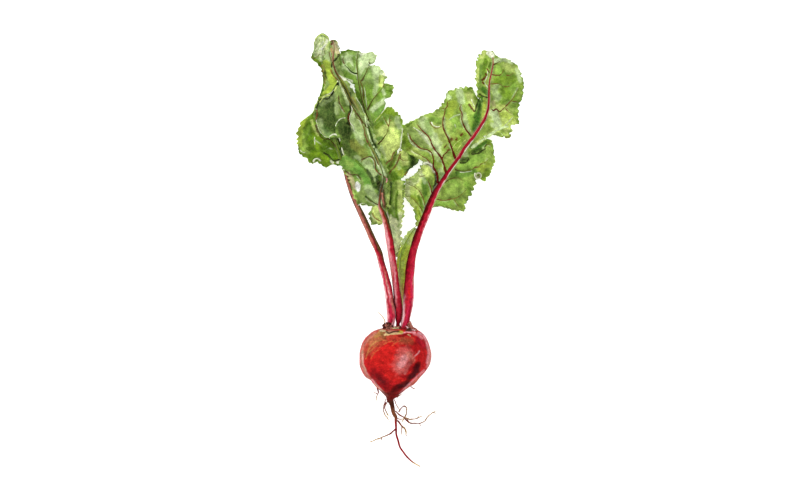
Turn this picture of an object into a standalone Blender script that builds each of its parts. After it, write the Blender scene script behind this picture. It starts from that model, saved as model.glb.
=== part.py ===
"""Beetroot, pulled and laid on its side with its leaves still on.

+Y runs from the tail of the root to the tips of the leaves, +X is to the right when it is
seen from above, and +Z is up.  The origin is the middle of the small flat spot under the
belly that the root rests on.  Lengths below are in millimetres and become metres once, at
the end of each shape.
"""
import math

import bmesh
import bpy
import numpy as np

MM = 0.001

# Driving dimensions.
BELLY_RADIUS = 34.0      # the root is widest here, above the origin
SPOT_RADIUS = 7.0        # flattened resting spot under the belly
GAP = 0.35               # clearance between neighbouring pieces
BLADE_THICKNESS = 0.9    # leaf blade
BLADE_ROWS = 34          # faces of a blade along its midrib
BLADE_HALF = 5           # faces of a blade from its midrib to a margin
BLADE_ARCH = 1.4         # power of the way out by which a rib's height changes
STALK_RINGS = 34         # rings along a stalk and its midrib
ROOT_SIDES = 32
BELLY_RINGS = 10         # rings of the root that stand square to Y
TIP_RADIUS = 0.5         # where a midrib ends at the leaf tip
SHARP_ANGLE = math.radians(50)

BELLY_HEIGHT = math.sqrt(BELLY_RADIUS ** 2 - SPOT_RADIUS ** 2)

# The root from its crown to the tip of its tail: y, then x and height of the middle, then
# radius.  The tail sinks from the belly's middle to the surface that the root lies on.
ROOT_STATIONS = [
    (26.4, 2.9, BELLY_HEIGHT, 5.0),
    (26.0, 2.9, BELLY_HEIGHT, 10.5),
    (25.0, 2.8, BELLY_HEIGHT, 14.7),
    (22.6, 1.6, BELLY_HEIGHT, 21.4),
    (19.0, 1.4, BELLY_HEIGHT, 26.1),
    (15.0, 0.6, BELLY_HEIGHT, 29.2),
    (8.0, 0.2, BELLY_HEIGHT, 32.3),
    (0.0, 0.0, BELLY_HEIGHT, BELLY_RADIUS),
    (-8.0, -0.3, BELLY_HEIGHT, 33.4),
    (-15.0, -1.2, BELLY_HEIGHT, 30.6),
    (-22.5, -2.0, BELLY_HEIGHT - 0.2, 24.9),
    (-28.0, -2.9, BELLY_HEIGHT - 0.5, 18.5),
    (-33.5, -3.4, BELLY_HEIGHT - 1.5, 11.8),
    (-38.0, -3.9, 30.4, 6.8),
    (-42.0, -4.4, 28.2, 3.6),
    (-46.0, -3.5, 25.8, 2.3),
    (-50.0, -2.6, 23.2, 2.0),
    (-57.0, -0.6, 18.6, 1.8),
    (-61.0, 0.8, 16.0, 1.5),
    (-67.0, 0.9, 12.2, 1.2),
    (-74.0, 1.1, 8.4, 1.1),
    (-80.0, 2.3, 5.8, 1.0),
    (-88.0, 4.7, 3.4, 0.9),
    (-95.0, 9.2, 2.0, 0.85),
    (-99.0, 12.9, 1.5, 0.8),
    (-103.0, 17.3, 1.2, 0.7),
    (-107.0, 24.2, 0.9, 0.5),
]

# Each leaf: its stalk and midrib as x, y, height, radius from crown to tip; the y where the
# blade starts; and its margins as station along the midrib (0 base, 1 tip), x, y, height.
LEAVES = {
    "left": {
        "stalk": [
            (-3.9, 26.8, 35.5, 3.3), (-3.6, 36.0, 35.8, 3.8), (-4.6, 48.9, 36.0, 3.7),
            (-6.2, 60.8, 35.6, 3.7), (-8.8, 72.7, 34.8, 3.4), (-12.1, 84.6, 33.5, 3.1),
            (-15.6, 96.4, 31.8, 3.1), (-21.0, 108.3, 29.4, 3.0), (-26.2, 120.2, 26.8, 2.9),
            (-31.8, 132.1, 23.6, 2.7), (-37.2, 143.9, 20.2, 2.4), (-42.0, 155.8, 16.8, 2.3),
            (-47.0, 173.0, 12.0, 1.4), (-53.2, 192.0, 9.2, 1.0), (-58.9, 211.0, 7.3, 0.9),
            (-62.6, 230.0, 6.3, 0.8), (-65.0, 249.0, 5.8, 0.7), (-67.0, 264.0, 5.6, 0.6),
            (-69.0, 279.3, 5.6, 0.6), (-69.2, 299.0, 5.8, TIP_RADIUS),
        ],
        "blade_from": 172.0,
        "left": [
            (0.0, -49, 173, 9.0), (0.06, -56, 178, 6.0), (0.10, -63, 179, 3.0),
            (0.20, -76, 182, 1.3), (0.30, -90, 191, 1.0), (0.40, -93, 210, 1.0),
            (0.50, -81, 223, 1.4), (0.62, -73, 241, 2.0), (0.70, -69, 252, 2.2),
            (0.78, -71, 265, 2.5), (0.87, -79, 279, 2.4), (0.94, -77, 294, 2.4),
            (1.0, -72, 303, 4.0),
        ],
        "right": [
            (0.0, -44, 174, 9.5), (0.15, -41, 187, 5.0), (0.30, -41, 204, 3.0),
            (0.50, -48, 232, 2.0), (0.65, -54, 251, 2.2), (0.80, -61, 268, 2.4),
            (0.90, -61, 284, 2.6),
            (1.0, -66, 302, 4.0),
        ],
    },
    "middle": {
        "stalk": [
            (2.8, 26.8, 31.5, 1.5), (3.2, 32.3, 31.8, 2.6), (3.4, 37.0, 32.0, 3.3),
            (3.0, 48.9, 32.4, 3.7), (1.5, 60.8, 33.2, 3.4), (0.0, 72.7, 34.0, 3.35),
            (-1.5, 84.6, 34.8, 3.3), (-3.4, 96.4, 35.4, 3.5), (-5.4, 108.3, 36.0, 3.4),
            (-7.4, 120.2, 36.4, 3.0), (-10.7, 132.1, 36.6, 2.5), (-13.8, 141.0, 36.4, 1.9),
            (-13.9, 151.0, 36.2, 1.6), (-11.2, 165.0, 35.6, 1.5), (-14.3, 178.6, 34.8, 1.5),
            (-20.9, 193.8, 33.4, 1.6), (-26.6, 207.1, 31.8, 1.5), (-30.4, 220.4, 30.2, 1.3),
            (-35.2, 230.0, 28.9, 1.2), (-41.8, 239.4, 27.4, 1.0), (-47.5, 250.8, 25.6, 0.9),
            (-52.3, 259.4, 24.4, 0.8), (-57.0, 267.9, 23.4, 0.7), (-58.6, 277.4, 22.6, 0.6),
            (-57.4, 291.0, 22.0, TIP_RADIUS),
        ],
        "blade_from": 127.0,
        "left": [
            (0.0, -12, 126, 31.0), (0.04, -23, 127, 28.0), (0.08, -22, 136, 27.5),
            (0.12, -25, 143, 25.0), (0.19, -38, 156, 22.5), (0.22, -43, 167, 21.5),
            (0.27, -51, 176, 18.0), (0.34, -48, 189, 15.5), (0.42, -54, 205, 13.0),
            (0.50, -72, 213, 9.0), (0.57, -77, 228, 8.5), (0.66, -74, 240, 9.5),
            (0.78, -66, 256, 12.0), (0.86, -70, 272, 14.0), (0.93, -66, 285, 16.0),
            (1.0, -60, 296, 18.0),
        ],
        "right": [
            (0.0, -8, 130, 32.0), (0.10, -7, 146, 32.5), (0.28, -5, 173, 32.0),
            (0.42, -14, 198, 30.0), (0.58, -25, 224, 26.5), (0.74, -38, 251, 22.5),
            (0.88, -50, 270, 20.5), (0.95, -51, 285, 20.0), (1.0, -55, 295, 20.0),
        ],
    },
    "inner": {
        "stalk": [
            (2.4, 26.8, 24.0, 2.0), (2.4, 51.3, 21.5, 2.2), (1.9, 70.3, 20.5, 2.2),
            (0.0, 87.4, 19.8, 2.2), (-2.9, 108.3, 19.0, 2.1), (-6.7, 127.3, 18.6, 2.0),
            (-10.4, 146.3, 18.6, 1.9), (-9.2, 159.6, 18.8, 1.8), (-9.0, 170.0, 19.0, 1.7),
            (-13.3, 184.3, 19.0, 1.5), (-19.0, 201.4, 18.6, 1.3), (-24.7, 220.4, 18.0, 1.1),
            (-30.4, 239.4, 17.4, 0.9), (-33.7, 255.6, 16.8, 0.8), (-35.6, 268.0, 15.8, 0.7),
            (-36.1, 282.0, 14.4, TIP_RADIUS),
        ],
        "blade_from": 97.0,
        "left": [
            (0.0, -5, 97, 16.0), (0.2, -13, 138, 16.0), (0.4, -20, 178, 16.0),
            (0.6, -31, 211, 15.5), (0.78, -36, 243, 15.0), (0.86, -44, 258, 14.0),
            (0.9, -57, 272, 12.0), (0.95, -53, 284, 11.5), (1.0, -40, 289, 11.5),
        ],
        "right": [
            (0.0, 1, 96, 16.0), (0.08, 6, 116, 15.5), (0.16, 8, 133, 14.0),
            (0.28, 8, 160, 12.5), (0.32, 3, 167, 11.5), (0.36, 11, 173, 6.5),
            (0.40, 12, 188, 5.5), (0.43, -4, 179, 13.0), (0.48, 7, 201, 16.5),
            (0.55, 5, 226, 16.5), (0.62, -8, 234, 15.5), (0.64, -14, 226, 15.5),
            (0.70, -8, 243, 15.0), (0.77, -2, 253, 14.0), (0.83, -8, 262, 14.0),
            (0.90, -20, 273, 14.5), (0.95, -17, 283, 12.5), (1.0, -30, 287, 12.5),
        ],
    },
    "right": {
        "stalk": [
            (9.6, 26.6, 36.5, 3.9), (10.2, 32.0, 36.8, 3.7), (11.0, 37.4, 37.0, 3.8),
            (12.5, 48.9, 37.0, 4.6), (13.2, 60.8, 37.0, 4.7), (13.6, 72.7, 36.6, 4.4),
            (14.8, 84.6, 35.8, 4.1), (16.7, 96.4, 34.7, 3.7), (20.0, 108.3, 33.0, 3.6),
            (24.4, 120.2, 31.4, 3.5), (29.4, 132.6, 29.8, 3.3), (34.7, 145.9, 28.4, 3.0),
            (41.3, 158.7, 26.8, 2.3), (49.6, 171.4, 24.8, 1.9), (58.8, 184.1, 22.8, 1.8),
            (65.6, 194.3, 21.2, 1.7), (74.1, 206.2, 19.4, 1.6), (83.1, 219.5, 17.6, 1.4),
            (87.3, 229.0, 16.6, 1.2), (89.0, 238.5, 16.0, 1.0), (89.3, 254.6, 15.0, 0.8),
            (91.8, 270.0, 13.6, 0.6), (92.4, 284.0, 12.2, TIP_RADIUS),
        ],
        "blade_from": 121.0,
        "left": [
            (0.0, 20, 123, 26.0), (0.09, 14, 141, 10.0), (0.13, 8, 154, 4.0),
            (0.20, 18, 169, 5.0), (0.26, 28, 179, 12.0), (0.32, 6, 195, 9.5),
            (0.36, 3, 210, 9.5), (0.40, 14, 219, 9.0), (0.44, 25, 226, 5.0),
            (0.49, 39, 231, 1.5), (0.53, 46, 237, 3.0), (0.58, 50, 248, 1.0),
            (0.68, 73, 253, 4.0), (0.73, 84, 240, 12.0),
            (0.79, 78, 256, 8.0), (0.93, 83, 283, 4.0), (1.0, 90, 287, 6.0),
        ],
        "right": [
            (0.0, 29, 122, 26.0), (0.10, 37, 138, 20.0), (0.15, 52, 138, 2.5),
            (0.24, 66, 142, 2.0), (0.34, 77, 163, 2.0), (0.40, 88, 171, 1.5),
            (0.45, 95, 183, 1.0), (0.51, 91, 200, 6.0), (0.555, 84, 206, 12.0),
            (0.60, 103, 206, 4.0), (0.68, 118, 218, 1.0), (0.78, 122, 249, 1.0),
            (0.88, 117, 271, 3.0),
            (0.96, 103, 279, 7.0), (1.0, 95, 285, 9.0),
        ],
    },
    "young": {
        "stalk": [
            (6.6, 27.2, 27.5, 1.3), (6.6, 38.0, 27.0, 1.2), (6.4, 51.3, 26.5, 1.0),
            (4.9, 68.4, 26.0, 0.9), (4.6, 83.6, 25.7, 0.8), (6.8, 98.8, 25.6, 0.7),
            (12.0, 110.2, 25.2, 0.6), (19.4, 119.5, 24.2, TIP_RADIUS),
        ],
        "blade_from": 46.0,
        "left": [
            (0.0, 5.6, 47, 24.8), (0.2, 4, 61, 24.2), (0.4, 1, 75, 23.8),
            (0.55, 0.4, 86, 23.8), (0.68, 3, 97, 23.8), (0.8, 7, 108, 23.6),
            (0.9, 12, 115, 23.2), (1.0, 18.5, 120.5, 22.8),
        ],
        "right": [
            (0.0, 7.6, 47, 24.8), (0.2, 10, 61, 24.2), (0.4, 11, 78, 23.8),
            (0.55, 13, 91, 23.8), (0.7, 17, 103, 23.6), (0.85, 21, 111, 23.2),
            (1.0, 21.5, 119.5, 22.8),
        ],
    },
}

# Side roots: x, y, height and radius along each, from the main root outwards.
SIDE_ROOTS = [
    [(-1.5, -72.4, 9.4, 0.75), (-4.0, -75.2, 7.7, 0.75), (-8.4, -77.4, 5.5, 0.7),
     (-13.0, -79.4, 3.5, 0.7), (-18.8, -81.4, 2.0, 0.6), (-24.4, -83.6, 1.2, 0.45)],
    [(3.6, -64.0, 13.0, 0.9), (5.4, -66.8, 10.4, 0.9), (9.6, -71.6, 6.0, 0.8),
     (10.4, -75.0, 3.6, 0.7), (9.8, -76.6, 2.4, 0.5)],
    [(2.2, -55.6, 20.4, 0.6), (4.2, -57.2, 19.0, 0.65), (8.4, -59.8, 17.0, 0.7),
     (14.4, -61.4, 14.2, 0.6), (20.4, -61.2, 12.0, 0.55), (25.8, -58.6, 11.0, 0.4)],
    [(3.7, -61.2, 15.5, 0.7), (8.4, -63.4, 12.6, 0.7), (12.0, -65.0, 10.6, 0.65), (16.6, -65.8, 8.8, 0.6),
     (21.4, -65.6, 7.0, 0.6), (27.2, -64.2, 5.5, 0.55), (31.0, -59.8, 4.5, 0.5),
     (35.6, -55.8, 3.5, 0.45), (40.4, -53.4, 3.0, 0.35)],
    [(1.5, -54.0, 21.6, 0.5), (3.6, -52.6, 22.4, 0.55), (5.6, -50.6, 22.8, 0.6), (8.6, -48.8, 22.0, 0.65),
     (10.8, -50.4, 20.0, 0.6), (11.0, -54.6, 17.8, 0.5)],
    [(-8.1, -43.2, 27.2, 0.5), (-10.0, -47.2, 24.8, 0.55), (-10.8, -54.0, 20.6, 0.5),
     (-8.6, -58.6, 16.6, 0.5), (-5.8, -62.0, 13.0, 0.4), (-4.8, -64.4, 11.0, 0.35)],
    [(-7.6, -46.2, 26.6, 0.45), (-8.2, -50.8, 24.4, 0.4), (-6.8, -55.6, 21.6, 0.4),
     (-4.4, -58.6, 18.6, 0.35)],
    [(-17.0, -32.4, 32.8, 0.6), (-16.4, -35.4, 31.6, 0.55), (-16.8, -38.0, 30.0, 0.45),
     (-17.6, -41.4, 28.0, 0.4), (-17.0, -44.6, 26.0, 0.35)],
    [(-0.2, -44.6, 28.4, 0.5), (1.2, -46.8, 27.0, 0.45), (3.8, -51.0, 25.4, 0.35)],
    [(3.3, -39.8, 30.4, 0.5), (5.2, -38.6, 31.0, 0.45), (7.4, -37.0, 31.4, 0.35)],
    [(16.3, -30.8, 32.0, 0.5), (18.0, -31.8, 31.0, 0.45), (20.0, -32.6, 29.8, 0.35)],
]

DEAD_STUB = [(-9.0, 27.6, 38.4, 2.0), (-8.8, 28.6, 39.4, 2.0), (-7.8, 29.8, 40.3, 1.6),
             (-6.4, 31.4, 41.2, 0.8)]
DRY_FIBRE = [(-11.6, 26.8, 41.0, 0.45), (-10.4, 29.2, 42.4, 0.45), (-9.9, 32.8, 43.4, 0.4),
             (-12.4, 36.6, 43.9, 0.35), (-16.2, 40.9, 43.8, 0.3)]

COLOURS = {
    "root_skin": ((0.44, 0.03, 0.035), 0.45),
    "crimson_stalk": ((0.42, 0.02, 0.06), 0.40),
    "young_stalk": ((0.45, 0.45, 0.16), 0.45),
    "blade_green": ((0.22, 0.33, 0.06), 0.55),
    "dusky_green": ((0.12, 0.20, 0.07), 0.55),
    "young_green": ((0.30, 0.38, 0.08), 0.55),
    "root_hair": ((0.26, 0.10, 0.06), 0.70),
    "dry_brown": ((0.20, 0.10, 0.05), 0.80),
    "straw": ((0.50, 0.40, 0.22), 0.80),
}


def clear_scene():
    """Remove every object, so that the file holds this part alone."""
    for old in list(bpy.data.objects):
        bpy.data.objects.remove(old, do_unlink=True)


def make_material(name):
    """A Principled material of the named plant tissue."""
    colour, roughness = COLOURS[name]
    material = bpy.data.materials.new(name)
    material.use_nodes = True
    shader = material.node_tree.nodes["Principled BSDF"]
    shader.inputs["Base Color"].default_value = (*colour, 1.0)
    shader.inputs["Roughness"].default_value = roughness
    shader.inputs["Metallic"].default_value = 0.0
    return material


def stations_of(points):
    """Running length along a row of points, as a fraction of the whole."""
    steps = np.linalg.norm(np.diff(points[:, :3], axis=0), axis=1)
    run = np.concatenate([[0.0], np.cumsum(steps)])
    return run / run[-1]


def smooth_row(points, at):
    """Read a smooth curve through the rows of points at fractions of its length.

    Between neighbours it is the cubic whose slope at each point is the slope from the point
    before to the point after."""
    points = np.asarray(points, dtype=float)
    known = stations_of(points)
    slopes = np.gradient(points, known, axis=0)
    span = np.clip(np.searchsorted(known, at, side="right") - 1, 0, len(known) - 2)
    width = (known[span + 1] - known[span])[:, None]
    u = (at - known[span])[:, None] / width
    start = (2 * u ** 3 - 3 * u ** 2 + 1) * points[span] + (u ** 3 - 2 * u ** 2 + u) * width * slopes[span]
    end = (3 * u ** 2 - 2 * u ** 3) * points[span + 1] + (u ** 3 - u ** 2) * width * slopes[span + 1]
    return start + end


def add_object(name, data, material):
    """Link a named object that carries its own material."""
    data.materials.append(material)
    piece = bpy.data.objects.new(name, data)
    bpy.context.scene.collection.objects.link(piece)
    return piece


def tube(name, points, count, material, roundness=2):
    """A round stem that follows the points, with its radius given at each and closed ends."""
    path = smooth_row(points, np.linspace(0.0, 1.0, count))
    curve = bpy.data.curves.new(name, "CURVE")
    curve.dimensions = "3D"
    curve.bevel_depth = MM
    curve.bevel_resolution = roundness
    curve.use_fill_caps = True
    spline = curve.splines.new("POLY")
    spline.points.add(count - 1)
    for point, (x, y, z, radius) in zip(spline.points, path):
        point.co = (x * MM, y * MM, z * MM, 1.0)
        point.radius = radius
    spline.use_smooth = True
    return add_object(name, curve, material)


def root(material):
    """The swollen root: rings of points square to its bent axis, closed at both ends, with
    the belly cut flat where it rests."""
    rows = np.array([(x, y, z, radius) for y, x, z, radius in ROOT_STATIONS])
    along = np.gradient(rows[:, :3], axis=0)
    along[:BELLY_RINGS] = (0.0, -1.0, 0.0)
    along /= np.linalg.norm(along, axis=1)[:, None]
    side = np.cross(along, (0.0, 0.0, 1.0))
    side /= np.linalg.norm(side, axis=1)[:, None]
    lift = np.cross(side, along)
    angle = np.arange(ROOT_SIDES) * 2 * math.pi / ROOT_SIDES

    mesh = bmesh.new()
    rings = []
    for centre, radius, across, up in zip(rows[:, :3], rows[:, 3], side, lift):
        ring = centre + radius * (np.outer(np.cos(angle), across) + np.outer(np.sin(angle), up))
        rings.append([mesh.verts.new(point * MM) for point in ring])
    for ring, following in zip(rings, rings[1:]):
        for i in range(ROOT_SIDES):
            j = (i + 1) % ROOT_SIDES
            mesh.faces.new((ring[i], ring[j], following[j], following[i]))
    mesh.faces.new(reversed(rings[0]))
    mesh.faces.new(rings[-1])

    bmesh.ops.bisect_plane(
        mesh, geom=mesh.verts[:] + mesh.edges[:] + mesh.faces[:], dist=1e-7,
        plane_co=(0.0, 0.0, 0.0), plane_no=(0.0, 0.0, 1.0), clear_inner=True)
    rim = [edge for edge in mesh.edges if edge.is_boundary]
    bmesh.ops.edgeloop_fill(mesh, edges=rim)
    bmesh.ops.recalc_face_normals(mesh, faces=mesh.faces)

    data = bpy.data.meshes.new("beet_root")
    mesh.to_mesh(data)
    mesh.free()
    data.shade_smooth()
    data.set_sharp_from_angle(angle=SHARP_ANGLE)
    return add_object("beet_root", data, material)


def margin_at(margin, t):
    """A margin's points at stations t, on straight runs between its own points."""
    margin = np.array(margin, dtype=float)
    return np.stack([np.interp(t, margin[:, 0], margin[:, k]) for k in (1, 2, 3)], axis=1)


def blade(name, leaf, material):
    """A leaf blade: a sheet of straight ribs from the midrib to each margin.

    Along a rib the height goes from the midrib's to the margin's as a power of the way out,
    which makes a low arch.  The sheet lies just under its midrib, and is extruded
    straight down to its thickness."""
    stalk = np.array(leaf["stalk"], dtype=float)
    fine = np.linspace(0.0, 1.0, 400)
    path = smooth_row(stalk, fine)
    first = fine[np.argmax(path[:, 1] >= leaf["blade_from"])]
    t = np.linspace(0.0, 1.0, BLADE_ROWS + 1)
    middle = smooth_row(stalk, first + (1.0 - first) * t)
    spine = middle[:, :3].copy()
    spine[:, 2] -= middle[:, 3] + GAP

    out = np.linspace(0.0, 1.0, BLADE_HALF + 1)[:, None, None]
    halves = []
    for side in ("left", "right"):
        edge = margin_at(leaf[side], t)
        half = spine + (edge - spine) * out
        half[:, :, 2] = spine[:, 2] + (edge[:, 2] - spine[:, 2]) * out[:, :, 0] ** BLADE_ARCH
        halves.append(half)
    grid = np.concatenate([halves[0][:0:-1], halves[1]])
    columns = len(grid)
    grid = grid.transpose(1, 0, 2).reshape(-1, 3)

    faces = [
        (row * columns + k, row * columns + k + 1,
         (row + 1) * columns + k + 1, (row + 1) * columns + k)
        for row in range(BLADE_ROWS) for k in range(columns - 1)
    ]
    mesh = bmesh.new()
    corners = [mesh.verts.new(point) for point in grid * MM]
    sheet = [mesh.faces.new([corners[i] for i in face]) for face in faces]
    lower = bmesh.ops.extrude_face_region(mesh, geom=sheet, use_keep_orig=True)["geom"]
    lowered = [part for part in lower if isinstance(part, bmesh.types.BMVert)]
    bmesh.ops.translate(mesh, verts=lowered, vec=(0.0, 0.0, -BLADE_THICKNESS * MM))
    bmesh.ops.recalc_face_normals(mesh, faces=mesh.faces)
    data = bpy.data.meshes.new(name)
    mesh.to_mesh(data)
    mesh.free()
    data.shade_smooth()
    data.set_sharp_from_angle(angle=SHARP_ANGLE)
    return add_object(name, data, material)


def leaf_pieces():
    """Every leaf's stalk and blade."""
    blade_colours = {"middle": "dusky_green", "young": "young_green"}
    for name, leaf in LEAVES.items():
        stalk_colour = "young_stalk" if name == "young" else "crimson_stalk"
        count = STALK_RINGS // 2 if name == "young" else STALK_RINGS
        tube(f"{name}_stalk", leaf["stalk"], count, make_material(stalk_colour))
        blade(f"{name}_blade", leaf, make_material(blade_colours.get(name, "blade_green")))


def main():
    clear_scene()
    root(make_material("root_skin"))
    leaf_pieces()
    for number, points in enumerate(SIDE_ROOTS, start=1):
        tube(f"side_root_{number}", points, 3 * len(points) - 2, make_material("root_hair"), roundness=1)
    tube("dead_leaf_stub", DEAD_STUB, 7, make_material("dry_brown"))
    tube("dry_fibre", DRY_FIBRE, 10, make_material("straw"), roundness=1)


main()
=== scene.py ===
# %% [markdown]
# # A beetroot with its leaves
# This script dresses a finished solid model of a beetroot that lies on its side: the swollen
# root with its tail and side roots, five leaves on their stalks, a dead leaf stub and a dry
# fibre.  The solid model is loaded as a fixed frame.  It says where everything is: each piece
# made here is laid over one of its solids, or is a small detail on such a piece.
#
# Beetroot is hard to fake with ready-made shapes, because nothing on it is flat or round.  So
# each piece is a surface worked out with numpy: a formula gives all its points at once, and
# the mesh is filled in one go.

# %% Load the frame
import itertools
import math

import bpy
import numpy as np
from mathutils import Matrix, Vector


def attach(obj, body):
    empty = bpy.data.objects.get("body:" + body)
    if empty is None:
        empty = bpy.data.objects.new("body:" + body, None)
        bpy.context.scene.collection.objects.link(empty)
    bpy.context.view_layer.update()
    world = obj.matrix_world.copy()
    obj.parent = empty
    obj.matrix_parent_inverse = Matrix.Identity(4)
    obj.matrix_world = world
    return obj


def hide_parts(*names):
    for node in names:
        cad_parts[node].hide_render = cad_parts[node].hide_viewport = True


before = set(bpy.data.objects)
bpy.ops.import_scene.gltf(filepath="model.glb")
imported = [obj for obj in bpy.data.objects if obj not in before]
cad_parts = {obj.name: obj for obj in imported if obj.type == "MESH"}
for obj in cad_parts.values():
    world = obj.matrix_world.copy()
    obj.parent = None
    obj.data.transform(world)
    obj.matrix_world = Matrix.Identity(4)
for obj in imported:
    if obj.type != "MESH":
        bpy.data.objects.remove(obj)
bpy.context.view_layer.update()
MM = 0.001

# %% [markdown]
# ## Lines that bend
# Stalks, roots and veins all follow a line with a few chosen points.  A spline object would
# draw such a line, but the leaves need its points as numbers.  So this small reader gives a
# smooth row between chosen points: on each span it is a cubic, whose slope at each point is
# weighed from the slopes on both sides of it.  It reads a radius or a height along with the
# place, because it treats every column of the row alike.


# %% Reading a smooth row
def travelled(points):
    """Distance travelled along a row of points, starting from 0 at the first."""
    steps = np.linalg.norm(np.diff(points[:, :3], axis=0), axis=1)
    return np.concatenate([[0.0], np.cumsum(steps)])


def running(points):
    """Distance travelled as a share, from 0 at the first point to 1 at the last."""
    run = travelled(points)
    return run / run[-1]


def cubic_row(known, values, slopes, at):
    """The row through `values` at places `known`, with the given slopes there, read at `at`."""
    span = np.clip(np.searchsorted(known, at, side="right") - 1, 0, len(known) - 2)
    width = (known[span + 1] - known[span])[:, None]
    u = (at - known[span])[:, None] / width
    start = (2 * u**3 - 3 * u**2 + 1) * values[span] + (u**3 - 2 * u**2 + u) * width * slopes[span]
    end = (3 * u**2 - 2 * u**3) * values[span + 1] + (u**3 - u**2) * width * slopes[span + 1]
    return start + end


def smooth_row(points, at):
    """The row's place at fractions `at` of its length."""
    points = np.asarray(points, dtype=float)
    known = running(points)
    return cubic_row(known, points, np.gradient(points, known, axis=0), at)


def unit(rows):
    """Each row of directions at length 1."""
    return rows / np.linalg.norm(rows, axis=1)[:, None]


# %% [markdown]
# ## Unevenness
# A grown thing is never even.  The same smooth noise serves for the wander of a root, the
# ripple of a leaf's edge and the ragged border of a stain.  It is worked out from a lattice
# of fixed values, so that every run gives the same beetroot.  A seed moves the lattice, so
# that two uses needn't look alike.

# %% Smooth noise
SEED_STEP = 17.3
# the lattice values are the digits of a large sine that are left after the point
LATTICE_WAVES, LATTICE_HEIGHT = np.array([12.9898, 78.233, 37.719]), 43758.5453


def noise(places, size, seed):
    """Smooth noise from -1 to 1: fixed values on a lattice `size` apart, blended in between
    with the curve 3u² - 2u³."""
    places = np.atleast_2d(np.asarray(places, dtype=float)) / size + SEED_STEP * seed
    cell = np.floor(places)
    u = places - cell
    u = u * u * (3 - 2 * u)
    waves = LATTICE_WAVES[: places.shape[1]]
    total = np.zeros(len(places))
    for corner in itertools.product((0, 1), repeat=places.shape[1]):
        weight = np.prod(np.where(corner, u, 1 - u), axis=1)
        value = np.sin((cell + corner) @ waves) * LATTICE_HEIGHT
        total += weight * (2 * (value - np.floor(value)) - 1)
    return total


def layered(places, *layers):
    """A sum of noises, each given as its share, its size in mm and its seed."""
    return sum(share * noise(places, size, seed) for share, size, seed in layers)


def noise_along(distance, size, seed):
    """The same noise along a line, from the distance travelled."""
    return noise(np.asarray(distance, dtype=float)[:, None], size, seed)


def ramp(value, low, high):
    """0 below low, 1 above high, and the curve 3u² - 2u³ in between."""
    u = np.clip((value - low) / (high - low), 0.0, 1.0)
    return u * u * (3 - 2 * u)


def bell(value, middle, width):
    """1 where the value is `middle`, and a bell curve of this width about it."""
    return np.exp(-(((value - middle) / width) ** 2))


# %% [markdown]
# ## Colours by name
# Real beetroot colours are few, and they come back everywhere: fresh greens on the blades,
# crimson in the stalks and skin, rust and maroon in the veins, cream where tissue is thin, and
# cream and pinks also for painted highlights.
# Each gets a name and is given as it looks on a screen.  Blender mixes light in linear
# values, so `tone` turns a name into those.

# %% The palette
# the scene's light, as a multiple of the light in which a surface shows its own colour
LIGHT = 1.2
PALETTE = {
    # greens, from nearly black to white
    "soot": (12, 16, 4), "ink": (18, 22, 10), "pine": (32, 56, 16), "slate": (56, 78, 32),
    "dusk": (84, 108, 46), "moss": (82, 118, 18), "fern": (58, 108, 30), "leaf": (118, 152, 30),
    "spring": (112, 158, 66), "fresh": (120, 160, 58), "meadow": (140, 170, 66),
    "heath": (136, 160, 86), "grass": (152, 196, 80), "sprout": (158, 188, 86),
    "lime": (168, 192, 66), "sage": (166, 187, 128), "mint": (205, 226, 168),
    "pale": (210, 228, 128), "frost": (226, 234, 180), "cream": (238, 242, 214),
    "white": (255, 255, 250),
    # yellows and browns
    "straw": (212, 186, 132), "tan": (196, 184, 138), "gold": (206, 158, 84),
    "khaki": (176, 164, 70), "ochre": (188, 134, 88), "olive": (132, 134, 58),
    "rust": (128, 76, 48), "bark": (88, 70, 36), "earth": (116, 70, 44), "hide": (74, 44, 32),
    # reds, from nearly black to pink
    "plum": (72, 8, 14), "maroon": (94, 14, 12), "garnet": (134, 18, 22), "wine": (118, 22, 34),
    "claret": (150, 14, 36), "ruby": (178, 26, 28), "crimson": (182, 34, 52),
    "scarlet": (204, 36, 32), "magenta": (204, 42, 76), "ember": (178, 72, 52),
    "rose": (186, 116, 100), "bloom": (208, 124, 118), "blush": (226, 150, 156),
    "lilac": (222, 176, 188), "petal": (242, 196, 200),
}


def tone(name):
    """A palette colour in linear values, by the screen's own curve, over the scene's light."""
    value = np.array(PALETTE[name]) / 255.0
    return np.where(value <= 0.04045, value / 12.92, ((value + 0.055) / 1.055) ** 2.4) / LIGHT


def mix_in(colours, share, name):
    """Mix a palette colour into `colours`, by a share for each point."""
    colours += share[:, None] * (tone(name) - colours)


# %% [markdown]
# ## Staining a surface
# The colour of a leaf or of the skin changes from place to place: a lobe is paler.  Besides
# the thing's own colours, the stains also carry painted light and shade, such as a hollow painted
# darker and a rim painted almost white.  Painting by hand on an image would do, but an image can't be
# read or changed later.  Here a stain is one line of numbers: a colour, a half width, a
# strength, and a short stroke of points in plan.  It covers every point near the stroke, and
# noise makes its border ragged.

# %% Distance from a stroke, and staining
# the noise of a stain's border, and the shares of the half width between which its cover
# falls from full to none
RAGGED = (0.30, 2.2, 3), (0.25, 6.0, 5)
COVER_FULL, COVER_NONE = 0.6, 1.3


def from_stroke(places, stroke):
    """Distance from each place to a stroke of straight runs, with the offset to its nearest
    point."""
    start, run = stroke[:-1], np.diff(stroke, axis=0)
    offset = places[:, None, :] - start[None]
    u = np.clip((offset * run).sum(-1) / (run**2).sum(-1), 0.0, 1.0)
    offset = offset - u[..., None] * run
    gap = np.linalg.norm(offset, axis=-1)
    nearest = gap.argmin(axis=1)
    row = np.arange(len(places))
    return gap[row, nearest], offset[row, nearest]


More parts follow.
